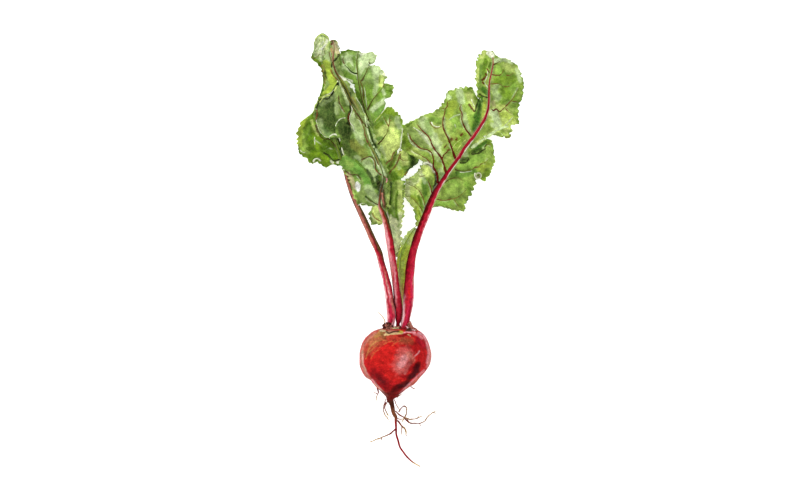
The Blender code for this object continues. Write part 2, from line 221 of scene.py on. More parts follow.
def stain(colours, places, name, half_width, strength, *numbers):
    """Mix a palette colour into `colours` around a stroke, given as x, y of each point, with a
    ragged border that is weaker on a narrow stain."""
    stroke = np.reshape(numbers, (-1, 2))
    near = np.abs(places - stroke.mean(axis=0)).max(axis=1) < 2 * half_width + np.ptp(stroke, axis=0).max()
    spots = places[near]
    gap, _ = from_stroke(spots, stroke)
    edge = gap / half_width + layered(spots, *RAGGED) * min(1.0, 0.35 + half_width / 6)
    cover = strength * (1 - ramp(edge, COVER_FULL, COVER_NONE))
    colours[near] += cover[:, None] * (tone(name) - colours[near])


# %% [markdown]
# ## Surfaces from grids
# Two kinds of surface are enough.  A sheet is an open grid, for a leaf blade.  A limb is a
# row of closed rings, for anything round from the root to the finest hair: both its ends are
# closed with a fan of triangles, so no hole is left.  Each point carries a colour, called
# "tint", which its material reads.


# %% Making the meshes
def new_object(name, data):
    """An object for some data, linked to the scene."""
    thing = bpy.data.objects.new(name, data)
    bpy.context.scene.collection.objects.link(thing)
    return thing


def add_mesh(name, points, faces, colours, materials, coordinates=None):
    """A piece from points in millimetres, its faces, a colour for every point and, where its
    material needs them, flat coordinates for every point."""
    data = bpy.data.meshes.new(name)
    data.from_pydata((points * MM).tolist(), [], faces)
    tint = data.color_attributes.new("tint", "FLOAT_COLOR", "POINT")
    rgba = np.concatenate([np.clip(colours, 0, 1), np.ones((len(points), 1))], axis=1)
    tint.data.foreach_set("color", rgba.astype(np.float32).ravel())
    if coordinates is not None:
        corner = np.zeros(len(data.loops), dtype=np.int32)
        data.loops.foreach_get("vertex_index", corner)
        layer = data.uv_layers.new(name="UVMap")
        layer.data.foreach_set("uv", coordinates[corner].astype(np.float32).ravel())
    data.shade_smooth()
    for material in materials:
        data.materials.append(material)
    return new_object(name, data)


def grid_faces(rows, columns, wrap=False):
    """Four-cornered faces of a grid, closed round its columns if wrap is true."""
    r, c = np.meshgrid(np.arange(rows - 1), np.arange(columns if wrap else columns - 1), indexing="ij")
    beside = (c + 1) % columns
    faces = np.stack([r * columns + c, r * columns + beside,
                      (r + 1) * columns + beside, (r + 1) * columns + c], axis=-1)
    return faces.reshape(-1, 4).tolist()


def limb_parts(rings, colours, along=1.0):
    """Points, faces, colours and flat coordinates of a closed limb made from rings of points,
    shaped (rings, sides, 3), with a fan at each end.  Its flat coordinates run from 1 to 0
    and back round the ring, so that they meet without a seam, and from 0 to `along` on the
    length."""
    count, sides, _ = rings.shape
    points = np.concatenate([rings.reshape(-1, 3), [rings[0].mean(0), rings[-1].mean(0)]])
    shades = np.concatenate([colours.reshape(-1, 3), [colours[0].mean(0), colours[-1].mean(0)]])
    first, last = count * sides, count * sides + 1
    faces = [face[::-1] for face in grid_faces(count, sides, wrap=True)]
    faces += [(first, k, (k + 1) % sides) for k in range(sides)]
    start = (count - 1) * sides
    faces += [(last, start + (k + 1) % sides, start + k) for k in range(sides)]
    turn = np.abs(np.linspace(-1, 1, sides, endpoint=False))
    length = np.linspace(0, 1, count)
    flat = np.stack(np.broadcast_arrays(turn[None], length[:, None] * along), axis=-1)
    flat = np.concatenate([flat.reshape(-1, 2), [[0, 0], [0, along]]])
    return points, faces, shades, flat


def limb(name, rings, colours, material, along=1.0):
    """One limb as a piece."""
    points, faces, shades, flat = limb_parts(rings, colours, along)
    return add_mesh(name, points, faces, shades, [material], flat)


def joined_limbs(name, parts, material):
    """Many limbs as one piece."""
    starts = np.cumsum([0] + [len(part[0]) for part in parts[:-1]])
    faces = [tuple(int(corner + start) for corner in face)
             for start, part in zip(starts, parts) for face in part[1]]
    points, shades, flat = (np.concatenate([part[k] for part in parts]) for k in (0, 2, 3))
    return add_mesh(name, points, faces, shades, [material], flat)


# %% [markdown]
# ## Rings along a path
# A ring is square to its path.  Its first point is on the right of the path, looking from
# its start, and the ring turns upwards from there.  Since everything here lies down, no path
# stands straight up, so the right-hand side can always be found from the path's direction
# and the upward axis.

# %% Rings along a path
# the smallest share of its radius that a rounded end keeps
END_SHARE = 0.02


def ring_frames(ahead):
    """The side and lift directions of each ring, square to the way ahead."""
    ahead = unit(ahead)
    side = unit(np.cross(ahead, (0.0, 0.0, 1.0)))
    return side, np.cross(side, ahead)


def ring_angles(sides):
    """The angle of each point of a ring."""
    return np.arange(sides) * 2 * math.pi / sides


def rings_along(path, sides, flatten=1.0, swell=None):
    """Rings of points along a path of x, y, z, radius.  `flatten` squashes them in height,
    and `swell`, shaped (rings, sides), multiplies the radius."""
    side, lift = ring_frames(np.gradient(path[:, :3], axis=0))
    angle = ring_angles(sides)
    reach = path[:, 3][:, None] * (np.ones(sides) if swell is None else swell)
    across = (reach * np.cos(angle))[..., None] * side[:, None, :]
    upward = (reach * np.sin(angle) * flatten)[..., None] * lift[:, None, :]
    return path[:, None, :3] + across + upward


def round_ends(path, first, last):
    """Make a path's radius close like a dome over the given lengths in mm at its ends."""
    run = travelled(path)
    path = path.copy()
    for length, distance in ((first, run), (last, run[-1] - run)):
        if length:
            u = np.clip(1 - distance / length, 0, 1)
            path[:, 3] *= np.maximum(np.sqrt(1 - u**2), END_SHARE)
    return path


# %% [markdown]
# ## Finishes
# All the finishes start from the tint and add what the eye sees close up: mottling, a fine
# net or fine streaks, a bump, and a roughness that varies.  Mottling is wanted by every
# material, the net by both sides of a blade and the streaks twice by the stalks, so each is a
# node group with its own sockets, which only puts out shades and heights.  The shader itself
# stays in each material.


# %% Node groups
# how far a pattern is spread before its depth applies, how much finer the small spots are
# than the broad ones, and the two sizes of a net's cells with the share of each
SWING = 4.0
FINER_SPOTS = 4.3
NET_CELLS = (0.65, 1.0), (0.35, 2.7)
# how far a net's lines waver, how often they do, and how wide they are as a share of a cell
NET_WAVER, NET_WAVER_SIZE, NET_LINE = 0.004, 180.0, 0.16


def new_group(name, inputs, outputs):
    """A shader node group with float inputs, given as name and default, and float outputs."""
    group = bpy.data.node_groups.new(name, "ShaderNodeTree")
    for label, default in inputs:
        socket = group.interface.new_socket(label, in_out="INPUT", socket_type="NodeSocketFloat")
        socket.default_value = default
    for label in outputs:
        group.interface.new_socket(label, in_out="OUTPUT", socket_type="NodeSocketFloat")
    return group, group.nodes.new("NodeGroupInput"), group.nodes.new("NodeGroupOutput")


def feed(tree, socket, value):
    """Give a socket a plain number, or link another socket to it."""
    if isinstance(value, (int, float)):
        socket.default_value = value
    else:
        tree.links.new(value, socket)


def math_node(tree, operation, *values):
    """A Math node fed by sockets or plain numbers."""
    node = tree.nodes.new("ShaderNodeMath")
    node.operation = operation
    for socket, value in zip(node.inputs, values):
        feed(tree, socket, value)
    return node.outputs[0]


def mean_node(tree, first, second, share):
    """The mean of two sockets, where the first has this share."""
    return math_node(tree, "ADD", math_node(tree, "MULTIPLY", first, share),
                     math_node(tree, "MULTIPLY", second, 1 - share))


def swing_node(tree, pattern, depth):
    """A shade that swings about 1, from a pattern that stays near 0.5."""
    centred = math_node(tree, "SUBTRACT", pattern, 0.5)
    swing = math_node(tree, "MULTIPLY", centred, math_node(tree, "MULTIPLY", depth, SWING))
    return math_node(tree, "ADD", swing, 1.0)


def spread_node(tree, value, low, high):
    """A Map Range node that spreads 0..1 over low..high."""
    node = tree.nodes.new("ShaderNodeMapRange")
    node.inputs["To Min"].default_value = low
    node.inputs["To Max"].default_value = high
    tree.links.new(value, node.inputs["Value"])
    return node.outputs["Result"]


def noise_node(tree, place, scale, detail=3.0):
    """A Noise node on the given coordinates."""
    node = tree.nodes.new("ShaderNodeTexNoise")
    node.inputs["Detail"].default_value = detail
    tree.links.new(place, node.inputs["Vector"])
    feed(tree, node.inputs["Scale"], scale)
    return node.outputs["Fac"]


def mottle_group():
    """Two sizes of soft spots.  Size is how many spots fit in a metre; Shade is a factor near
    1 for the colour, and Spots is the plain pattern."""
    group, given, out = new_group("mottle", [("Size", 120.0), ("Depth", 0.2)], ["Shade", "Spots"])
    place = group.nodes.new("ShaderNodeTexCoord").outputs["Object"]
    broad = noise_node(group, place, given.outputs["Size"])
    fine = noise_node(group, place, math_node(group, "MULTIPLY", given.outputs["Size"], FINER_SPOTS))
    both = mean_node(group, broad, fine, 0.6)
    group.links.new(swing_node(group, both, given.outputs["Depth"]), out.inputs["Shade"])
    group.links.new(both, out.inputs["Spots"])
    return group


def net_group():
    """The fine net of a leaf: lines where cells of a Voronoi pattern meet, in two sizes.  Line
    is 1 on a line, and Puff is the height of the cushions between them."""
    group, given, out = new_group("leaf net", [("Size", 260.0)], ["Line", "Puff"])
    place = group.nodes.new("ShaderNodeTexCoord").outputs["Object"]
    bend = group.nodes.new("ShaderNodeVectorMath")
    bend.operation = "MULTIPLY_ADD"
    waver = group.nodes.new("ShaderNodeTexNoise")
    waver.inputs["Scale"].default_value = NET_WAVER_SIZE
    group.links.new(place, waver.inputs["Vector"])
    group.links.new(waver.outputs["Color"], bend.inputs[0])
    bend.inputs[1].default_value = (NET_WAVER, NET_WAVER, NET_WAVER)
    group.links.new(place, bend.inputs[2])
    sums = []
    for share, step in NET_CELLS:
        cells = group.nodes.new("ShaderNodeTexVoronoi")
        cells.feature = "DISTANCE_TO_EDGE"
        group.links.new(bend.outputs[0], cells.inputs["Vector"])
        group.links.new(math_node(group, "MULTIPLY", given.outputs["Size"], step), cells.inputs["Scale"])
        near = group.nodes.new("ShaderNodeMapRange")
        near.inputs["From Max"].default_value = NET_LINE
        near.interpolation_type = "SMOOTHSTEP"
        group.links.new(cells.outputs["Distance"], near.inputs["Value"])
        sums.append(math_node(group, "MULTIPLY", near.outputs["Result"], share))
    puff = math_node(group, "ADD", *sums)
    group.links.new(math_node(group, "SUBTRACT", 1.0, puff), out.inputs["Line"])
    group.links.new(puff, out.inputs["Puff"])
    return group


def streak_group():
    """Long fine streaks along a piece, from its own flat coordinates: Around is how many fit
    round it and Along how often they change on its length."""
    group, given, out = new_group("streaks", [("Around", 9.0), ("Along", 3.0), ("Depth", 0.3)],
                                  ["Shade", "Ridge"])
    flat = group.nodes.new("ShaderNodeTexCoord").outputs["UV"]
    parts = group.nodes.new("ShaderNodeSeparateXYZ")
    group.links.new(flat, parts.inputs[0])
    joined = group.nodes.new("ShaderNodeCombineXYZ")
    for axis, label in enumerate(("Around", "Along")):
        stretched = math_node(group, "MULTIPLY", parts.outputs[axis], given.outputs[label])
        group.links.new(stretched, joined.inputs[axis])
    lines = noise_node(group, joined.outputs[0], scale=1.0, detail=4.0)
    group.links.new(swing_node(group, lines, given.outputs["Depth"]), out.inputs["Shade"])
    group.links.new(lines, out.inputs["Ridge"])
    return group


MOTTLE, NET, STREAKS = mottle_group(), net_group(), streak_group()
print("node groups:", [group.name for group in (MOTTLE, NET, STREAKS)])


# %% A finish from the tint
# every finish mirrors hardly anything, so that its colours stay full
SHEEN = 0.01


def place_group(tree, group, **values):
    """Put a group into a material with its own values."""
    node = tree.nodes.new("ShaderNodeGroup")
    node.node_tree = group
    for label, value in values.items():
        node.inputs[label].default_value = value
    return node


def tinted(name, roughness, bump_height, shades, ridges, lighten=None):
    """A material whose colour is the tint times some shades.  `shades` and `ridges` are
    functions that add nodes to the tree and give a socket.  `roughness` is its values at the
    low and the high places of the ridges, which stand `bump_height` mm high.  `lighten` is a
    function that gives a mask, how much of it counts, and the colour mixed in there."""
    material = bpy.data.materials.new(name)
    material.use_nodes = True
    tree = material.node_tree
    shader = tree.nodes["Principled BSDF"]
    shader.inputs["Specular IOR Level"].default_value = SHEEN
    tint = tree.nodes.new("ShaderNodeAttribute")
    tint.attribute_name = "tint"
    scale = tree.nodes.new("ShaderNodeVectorMath")
    scale.operation = "SCALE"
    tree.links.new(tint.outputs["Color"], scale.inputs[0])
    tree.links.new(shades(tree), scale.inputs["Scale"])
    colour = scale.outputs[0]
    if lighten:
        mask, amount, over = lighten
        mix = tree.nodes.new("ShaderNodeMix")
        mix.data_type = "RGBA"
        mix.inputs["B"].default_value = (*tone(over), 1.0)
        tree.links.new(math_node(tree, "MULTIPLY", mask(tree), amount), mix.inputs["Factor"])
        tree.links.new(colour, mix.inputs["A"])
        colour = mix.outputs["Result"]
    tree.links.new(colour, shader.inputs["Base Color"])
    height = ridges(tree)
    bump = tree.nodes.new("ShaderNodeBump")
    bump.inputs["Distance"].default_value = bump_height * MM
    tree.links.new(height, bump.inputs["Height"])
    tree.links.new(bump.outputs["Normal"], shader.inputs["Normal"])
    tree.links.new(spread_node(tree, height, *roughness), shader.inputs["Roughness"])
    return material


# %% [markdown]
# ## The finishes of this plant
# Skin, stalks, blades, veins and dry scraps each get a finish.  The root's skin is grained
# like a pebble.  A stalk is the smoothest, with streaks along it.  A blade is satin, with the
# net of small veins standing out a little paler, and its underside is duller and greyer than
# its top.  Roots and dry scraps are rough.

# %% Materials
# the sizes say how many spots or cells fit in a metre
NET_SIZE, CUSHION_SPOTS = 230.0, 300.0


def mottled(size, depth):
    """Shades from the mottle group."""
    return lambda tree: place_group(tree, MOTTLE, Size=size, Depth=depth).outputs["Shade"]


def grained(size, depth, fine_depth):
    """Mottling times mottling three times finer."""
    return lambda tree: math_node(tree, "MULTIPLY", mottled(size, depth)(tree),
                                  mottled(3 * size, fine_depth)(tree))


def spots(size):
    """Heights from the mottle group."""
    return lambda tree: place_group(tree, MOTTLE, Size=size).outputs["Spots"]


def streaked(around, along, depth, size, spot_depth):
    """Shades from streaks times mottling."""
    def shades(tree):
        lines = place_group(tree, STREAKS, Around=around, Along=along, Depth=depth).outputs["Shade"]
        return math_node(tree, "MULTIPLY", lines, mottled(size, spot_depth)(tree))
    return shades


def ridged(around, along):
    """Heights from the streaks group."""
    return lambda tree: place_group(tree, STREAKS, Around=around, Along=along).outputs["Ridge"]


def net_line(tree):
    """1 on the lines of the leaf net."""
    return place_group(tree, NET, Size=NET_SIZE).outputs["Line"]


def net_and_spots(tree):
    """Cushions of the leaf net with some mottling on them."""
    puff = place_group(tree, NET, Size=NET_SIZE).outputs["Puff"]
    return mean_node(tree, puff, spots(CUSHION_SPOTS)(tree), 0.6)


# each finish: its name, roughness and bump height, then its shades and its ridges
SKIN = tinted("root skin", (0.36, 0.54), 0.35, grained(240.0, 0.60, 0.45), spots(420.0))
STALK = tinted("crimson stalk", (0.32, 0.46), 0.16, streaked(11.0, 4.0, 0.50, 200.0, 0.22),
               ridged(12.0, 5.0))
BLADE = tinted("leaf blade", (0.50, 0.64), 0.30, grained(300.0, 0.50, 0.50), net_and_spots,
               (net_line, 0.10, "pale"))
UNDERSIDE = tinted("leaf underside", (0.58, 0.70), 0.35, mottled(150.0, 0.20), net_and_spots,
                   (net_line, 0.45, "sage"))
VEIN = tinted("leaf vein", (0.44, 0.56), 0.05, mottled(400.0, 0.20), spots(400.0))
HAIR = tinted("root hair", (0.55, 0.80), 0.12, mottled(500.0, 0.35), spots(700.0))
DRY = tinted("dry scale", (0.70, 0.90), 0.30, mottled(420.0, 0.45), spots(500.0))
print("finishes:", [material.name for material in (SKIN, STALK, BLADE, UNDERSIDE, VEIN, HAIR, DRY)])


def settle(piece, slot, *nodes):
    """Every piece rides on the one body and may stand for CAD nodes, whose solids it hides.  The slot is not
    used.
    """
    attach(piece, "root")
    if nodes:
        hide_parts(*nodes)
    print(f"{piece.name}: {len(piece.data.polygons)} faces")


# %% [markdown]
# ## The root
# A beetroot is a swollen stem base, drawn out below into a tail.  It could be a sphere that
# is pulled at one end, but its outline matters too much for that.  Here it is a row of rings
# whose middles and radii are the solid's own stations, read smoothly.  The relief is added to
# the radius: slow dents, wrinkles on the crown where old leaves stood, and a twist of ridges
# on the tail.

# %% Stations of the root
BELLY_RADIUS, SPOT_RADIUS = 34.0, 7.0
BELLY_HEIGHT = math.sqrt(BELLY_RADIUS**2 - SPOT_RADIUS**2)

# y, then x and height of the middle, then radius
ROOT_STATIONS = [
    (26.4, 2.9, BELLY_HEIGHT, 5.0), (26.0, 2.9, BELLY_HEIGHT, 10.5), (25.0, 2.8, BELLY_HEIGHT, 14.7),
    (22.6, 1.6, BELLY_HEIGHT, 21.4), (19.0, 1.4, BELLY_HEIGHT, 26.1), (15.0, 0.6, BELLY_HEIGHT, 29.2),
    (8.0, 0.3, BELLY_HEIGHT, 32.2), (0.0, 0.3, BELLY_HEIGHT, BELLY_RADIUS - 0.3),
    (-8.0, -0.3, BELLY_HEIGHT, 33.2), (-15.0, -1.2, BELLY_HEIGHT, 30.5),
    (-22.5, -2.1, BELLY_HEIGHT - 0.2, 24.7), (-28.0, -3.1, BELLY_HEIGHT - 0.5, 18.2),
    (-33.5, -3.5, BELLY_HEIGHT - 1.5, 11.6), (-38.0, -3.9, 30.4, 6.6), (-42.0, -4.4, 28.2, 3.4),
    (-46.0, -3.4, 25.8, 2.1), (-50.0, -2.5, 23.2, 1.9), (-57.0, -0.5, 18.6, 1.7),
    (-61.0, 0.9, 16.0, 1.3), (-67.0, 0.9, 12.2, 1.0), (-74.0, 1.1, 8.4, 0.9), (-80.0, 2.3, 5.8, 0.9),
    (-88.0, 4.7, 3.4, 0.85), (-95.0, 9.2, 2.0, 0.8), (-99.0, 12.9, 1.5, 0.75), (-103.0, 17.3, 1.2, 0.65),
    (-107.0, 24.2, 0.9, 0.45),
]
ROOT_RINGS, ROOT_SIDES = 330, 160

# The root's stains, among them painted highlight, painted shadow and painted rim sheen: colour,
# half width, strength, then the stroke's points as x, y in plan
ROOT_STAINS = [
    ("scarlet", 12.3, .75, -16, 0, -7, 2, -1, -8),
    ("ember", 7.6, .75, -27, 4, -22, 12, -11, 18),
    ("ember", 4.8, .6, 1, 16, 14, 14),
    ("rust", 2.8, .5, 7, 15, 16, 12),
    ("ember", 4.8, .6, -28, 4, -22, 12),
    ("ochre", 3.8, .4, -22, 13, -14, 19),
    ("khaki", 2.1, .3, -18, 18, -13, 21),
    ("bark", 2.1, .6, -12, 21, -10, 17),
    ("straw", .9, .9, -9.5, 19, -8, 20),
    ("gold", .4, .36, -27.5, -4, -26, 3, -23, 9, -18, 13.5),
    ("gold", .4, .36, -26, 0, -24, 6.5, -19.5, 11.5, -14, 15),
    ("gold", .4, .3, -24, 3, -20, 7, -15, 11),
    ("gold", .4, .3, -16, 12.5, -12.5, 14.5, -7.5, 13.5),
    ("gold", .4, .24, -11.5, 9.5, -6.5, 12.5, -1, 13.5),
    ("gold", .4, .21, -3, 8.5, 1, 12.5, 6.5, 14),
    ("gold", .4, .21, -23, -4, -20, 2, -15, 5.5),
    # painted rim sheen: the next five strokes pale the left rim, as light grazing the side would
    ("rose", 1.4, .6, -31.5, 0, -30, 8.5, -24.5, 16, -18, 21),
    ("rose", 2.1, .6, -31, 2, -31, -9, -27, -18, -23, -23),
    ("blush", .9, .6, -30.5, 0, -30, -9.5, -26, -18),
    ("rose", 1.3, .7, -32.5, 4, -32.5, -7.5, -28.5, -16, -23, -24),
    ("tan", .8, .3, -30.5, 4, -30.5, -7.5, -27, -15),
    ("garnet", 3.4, .25, -23, -8, -21, -14),
    ("garnet", 6.1, .8, -19, -18, -10, -28),
    ("garnet", 3.4, .8, -11, -28, -3, -37),
    ("plum", 1.9, .5, -17, -19, -10, -26),
    ("scarlet", 4.4, .55, -5, -18, 2, -23),
    ("scarlet", 1.7, .7, 3, -22, 8.5, -24.5),
    # painted highlight: the next four strokes are a soft pale pink glow on the belly, where a gloss catches
    # the light
    ("bloom", 8.5, .3, 4, -10, 10, 0),
    ("bloom", 5.7, .3, 5, -11, 10, -2),
    ("petal", 3.2, .3, 6, -9, 9, -3),
    ("bloom", 1.5, .5, 9.5, -17, 14, -7.5),
    ("rose", 2.8, .5, 13, 1, 17, -5),
    ("garnet", 4.4, .4, 15, 10, 21, 7),
    ("ruby", 4.8, .8, 26, 10, 28, -2, 26, -13),
    ("claret", 2.8, .7, 22, 15, 27, 9),
    # painted shadow: the next seven strokes darken the lower right of the belly, away from the key light
    ("maroon", 3.2, .9, 14, -21, 20, -15, 22, -8),
    ("plum", 2.7, .95, 15, -21, 18, -18),
    ("plum", 2.3, .95, 20, -15, 21, -10),
    ("plum", 1.3, .9, 17.5, -12, 20, -16),
    ("maroon", 3.2, .9, -1, -33, 5, -29, 12, -26),
    ("plum", 2.7, .9, 1, -33, 5, -30),
    ("plum", 1.9, .9, 7, -29, 12, -27),
    ("garnet", 3.8, .5, 15, -7, 13, -15),
    ("scarlet", .9, .7, 11.5, -17.5, 14.5, -16),
    ("petal", .6, .45, 18.5, -0.5, 21.5, 1.5, 23, 4),
    ("bloom", .6, .5, 17, -3, 20, 0),
    # painted rim sheen: the next seven strokes pale the right and lower rims
    ("blush", 1.9, .4, 28, 17, 32, 10, 33, 0, 31, -11),
    ("blush", 1.1, .5, 30, 11.5, 31.5, 2, 30, -7.5),
    ("tan", .8, .25, 33, 7.5, 33.5, -2, 31.5, -11.5),
    ("blush", 1.1, .6, -21.5, -23.5, -15, -31, -7.5, -38.5),
    ("tan", .9, .3, -19, -27.5, -5.5, -40),
    ("blush", 1.1, .5, 5, -36, 20, -21, 27.5, -14.5),
    ("tan", .8, .2, 6.5, -36, 24, -20),
    ("maroon", 2.8, .8, -4, -37, -2, -43),
    ("tan", 1.1, .6, -8, 21.5, 3, 21.5),
    ("rose", 1.2, .8, -5.5, 23, 3, 22),
    ("straw", .8, .9, -7, 19, -4.5, 20, 7, 20.5),
    ("blush", .8, .9, 7, 20.5, 11, 22, 19, 21),
    ("khaki", 1.4, .85, 4, 22, 6.5, 21.5),
    ("hide", .8, .95, -8, 22, -5.5, 20.5, -2, 22, 3.5, 22.5),
    ("garnet", 1.4, .9, 3.5, 18, 8.5, 18.5),
    ("garnet", 1.2, .9, 8.5, 19.5, 15, 19),
    ("straw", .6, .7, 12.5, 19.5, 14.5, 18),
    ("hide", .9, .9, 10.5, 23, 15, 23),
    ("tan", 1.0, .8, -13.5, 23, -9.5, 23),
    # painted rim sheen on the upper right rim
    ("blush", 1.5, .45, 18, 20, 22.5, 19, 25.5, 16),
    ("lilac", .9, .5, 22, 21, 26.5, 19, 30, 14),
]


# %% The root's surface
# the relief's dents, as layers of noise
DENTS = (0.55, 19.0, 1), (0.22, 8.0, 2)
# the stretches of y over which the rings turn upright and the crown's wrinkles come in, and
# the stretch of -y over which the tail's twist does
STRAIGHT_FROM, CROWN_FROM, TAIL_FROM = (-32.0, -20.0), (21.5, 25.0), (36.0, 46.0)
# the crown's wrinkles run across the plant, so their noise is pulled out sideways
CROWN_GRAIN, WRINKLE_HEIGHT, WRINKLE_SIZE = (0.45, 1.3, 1.0), 1.5, 2.6
# the tail's twist: ridges round it, turn in radians for each mm, height as a share of radius
TWIST_RIDGES, TWIST_TURN, TWIST_HEIGHT = 3, 0.55, 0.20
# colours down the tail, each with the stretch below the belly's middle over which it comes in
TAIL_COLOURS = [("maroon", 30.0, 37.0), ("hide", 41.0, 45.0), ("rust", 48.0, 56.0), ("claret", 60.0, 66.0),
                ("straw", 101.0, 105.0)]


def monotone_row(known, values, at):
    """A smooth row that never overshoots its values: its slope at a point is the harmonic
    mean of the slopes on both sides, and nothing where the row turns."""
    step = np.diff(values, axis=0) / np.diff(known)[:, None]
    both, total = step[:-1] * step[1:], step[:-1] + step[1:]
    inner = np.where(both > 0, 2 * both / np.where(total == 0, 1, total), 0)
    return cubic_row(known, values, np.concatenate([step[:1], inner, step[-1:]]), at)


def root_surface():
    """The root's path, its plain rings, the direction out at each point, and the angles."""
    stations = np.array([(x, y, z, r) for y, x, z, r in ROOT_STATIONS])
    path = monotone_row(running(stations[:, [1, 3]]), stations, np.linspace(0, 1, ROOT_RINGS))
    straight = ramp(path[:, 1], *STRAIGHT_FROM)[:, None]
    ahead = unit(np.gradient(path[:, :3], axis=0)) * (1 - straight) + straight * (0, -1, 0)
    side, lift = ring_frames(ahead)
    angle = ring_angles(ROOT_SIDES)
    round_about = np.cos(angle)[:, None] * side[:, None] + np.sin(angle)[:, None] * lift[:, None]
    plain = path[:, None, :3] + path[:, 3][:, None, None] * round_about
    return path, plain, round_about, angle


def root_relief(path, plain, angle):
    """Height to add to the root's radius, in millimetres."""
    flat = plain.reshape(-1, 3)
    shape = plain.shape[:2]
    size = np.clip(path[:, 3] / BELLY_RADIUS, 0.02, 1)[:, None]
    dents = layered(flat, *DENTS).reshape(shape)
    crown = ramp(path[:, 1], *CROWN_FROM)[:, None]
    bumps = WRINKLE_HEIGHT * np.abs(noise(flat * CROWN_GRAIN, WRINKLE_SIZE, 6)).reshape(shape) - 0.5
    waver = 1.2 * noise(flat, 9.0, 7).reshape(shape)
    twist = np.sin(TWIST_RIDGES * angle[None] + path[:, 1][:, None] * TWIST_TURN + waver)
    tail = ramp(-path[:, 1], *TAIL_FROM)[:, None]
    return dents * size * (1 - tail) + crown * bumps + tail * TWIST_HEIGHT * path[:, 3][:, None] * twist


def root_colours(points, path, angle):
    """The skin: ruby with scarlet and garnet patches, a painted pale sheen round the belly's side,
    stains with painted light and shade from above, short streaks, earthy below, and brown and
    straw along the tail."""
    colours = np.tile(tone("ruby"), (len(points), 1))
    streak = noise(points * (1.0, 0.5, 1.0), 1.5, 11)
    patch = noise(points, 13.0, 12)
    mix_in(colours, 0.25 * ramp(patch, 0.0, 0.9), "scarlet")
    mix_in(colours, 0.45 * ramp(-patch, 0.0, 0.9), "garnet")
    up = np.tile(np.sin(angle), len(path))
    girth = np.repeat(path[:, 3], len(angle))
    # painted rim sheen: a pale rose band round the belly's side, where light grazes the skin
    rim_sheen = 0.75 * bell(up, 0.04, 0.20) * ramp(girth, 8.0, 20.0) * (0.8 + 0.3 * patch)
    colours += rim_sheen[:, None] * (0.6 * tone("rose") + 0.4 * tone("blush") - colours)
    top = colours.copy()
    for name, half_width, strength, *stroke in ROOT_STAINS:
        stain(top, points[:, :2], name, half_width, strength, *stroke)
    upper = ramp(up, 0.04, 0.34)[:, None]
    colours = colours + upper * (top - colours)
    colours *= (1 + 0.16 * streak)[:, None]
    mix_in(colours, 0.5 * ramp(-points[:, 2], -12.0, 0.0) * ramp(patch, -0.4, 0.6), "earth")
    down = 1.5 * noise(points, 4.0, 13) - points[:, 1]
    for name, near, far in TAIL_COLOURS:
        mix_in(colours, 0.85 * ramp(down, near, far), name)
    crown = ramp(points[:, 1], 23.4, 25.4)[:, None]
    rough = ramp(noise(points * CROWN_GRAIN, 1.6, 14), -0.4, 0.5)[:, None]
    colours += 0.9 * crown * (tone("hide") * (1 - rough) + tone("rose") * rough - colours)
    return colours


path, plain, round_about, angle = root_surface()
rings = plain + root_relief(path, plain, angle)[..., None] * round_about
rings[..., 2] = np.maximum(rings[..., 2], 0.0)
shades = root_colours(rings.reshape(-1, 3), path, angle).reshape(rings.shape)
settle(limb("beet_root_skin", rings, shades, SKIN), "root_skin", "beet_root")

# %% [markdown]
# ## Side roots
# The side roots are thin and wandering, and turn from wine red through rust to a pale tip.
# Each follows its solid's own points, with a little noise so that it is never straight, and a radius that
# swells and shrinks.  A few twigs fork off them.

# %% Side roots and twigs
SIDE_ROOTS = [
    [(0.4, -71.0, 10.4, 0.7), (-3.4, -74.6, 8.0, 0.75), (-8.4, -77.4, 5.5, 0.7),
     (-13.0, -79.4, 3.5, 0.7), (-18.8, -81.4, 2.0, 0.6), (-24.4, -83.6, 1.2, 0.4)],
    [(2.4, -62.8, 14.0, 0.9), (5.0, -66.4, 10.6, 0.9), (9.6, -71.6, 6.0, 0.8),
     (10.4, -75.0, 3.6, 0.7), (9.6, -76.6, 2.4, 0.5)],
    [(0.6, -53.6, 21.4, 0.6), (4.0, -57.0, 19.0, 0.65), (8.4, -59.8, 17.0, 0.7),
     (14.4, -61.4, 14.2, 0.6), (20.4, -61.2, 12.0, 0.55), (25.8, -58.6, 11.0, 0.35)],
    [(8.6, -60.0, 14.6, 0.5), (11.4, -63.2, 12.4, 0.6), (16.6, -65.6, 9.0, 0.6),
     (21.4, -65.6, 7.0, 0.6), (27.2, -64.2, 5.5, 0.55), (31.0, -59.8, 4.5, 0.5),
     (35.6, -55.8, 3.5, 0.45), (40.4, -53.4, 3.0, 0.3)],
    [(3.6, -54.4, 21.6, 0.55), (5.6, -51.2, 22.4, 0.6), (8.6, -48.8, 22.0, 0.65), (10.8, -50.4, 20.0, 0.6),
     (11.0, -54.6, 16.8, 0.55), (9.6, -58.8, 13.6, 0.6), (6.4, -64.4, 11.0, 0.4)],
    [(-9.0, -42.4, 27.4, 0.5), (-10.4, -48.6, 24.0, 0.55), (-10.8, -54.0, 20.6, 0.5),
     (-8.6, -58.6, 16.6, 0.5), (-5.8, -62.0, 13.0, 0.4), (-4.8, -64.4, 11.0, 0.3)],
    [(-7.0, -43.6, 27.6, 0.45), (-9.2, -49.8, 24.4, 0.4), (-7.4, -55.6, 21.0, 0.35),
     (-3.4, -60.0, 17.6, 0.25)],
    [(-16.6, -31.4, 33.0, 0.8), (-15.6, -35.4, 31.6, 0.6), (-16.8, -38.0, 30.0, 0.45),
     (-17.6, -41.4, 28.0, 0.4), (-17.0, -44.6, 26.0, 0.25)],
    [(-0.6, -42.6, 29.0, 0.5), (1.0, -46.6, 27.0, 0.45), (3.8, -51.4, 25.0, 0.35), (5.0, -54.2, 23.0, 0.25)],
    [(1.6, -40.4, 30.4, 0.5), (3.6, -38.8, 31.0, 0.5), (6.6, -36.8, 31.4, 0.3)],
    [(14.8, -30.0, 32.0, 0.4), (17.0, -31.6, 31.0, 0.5), (19.6, -32.6, 29.8, 0.3)],
]

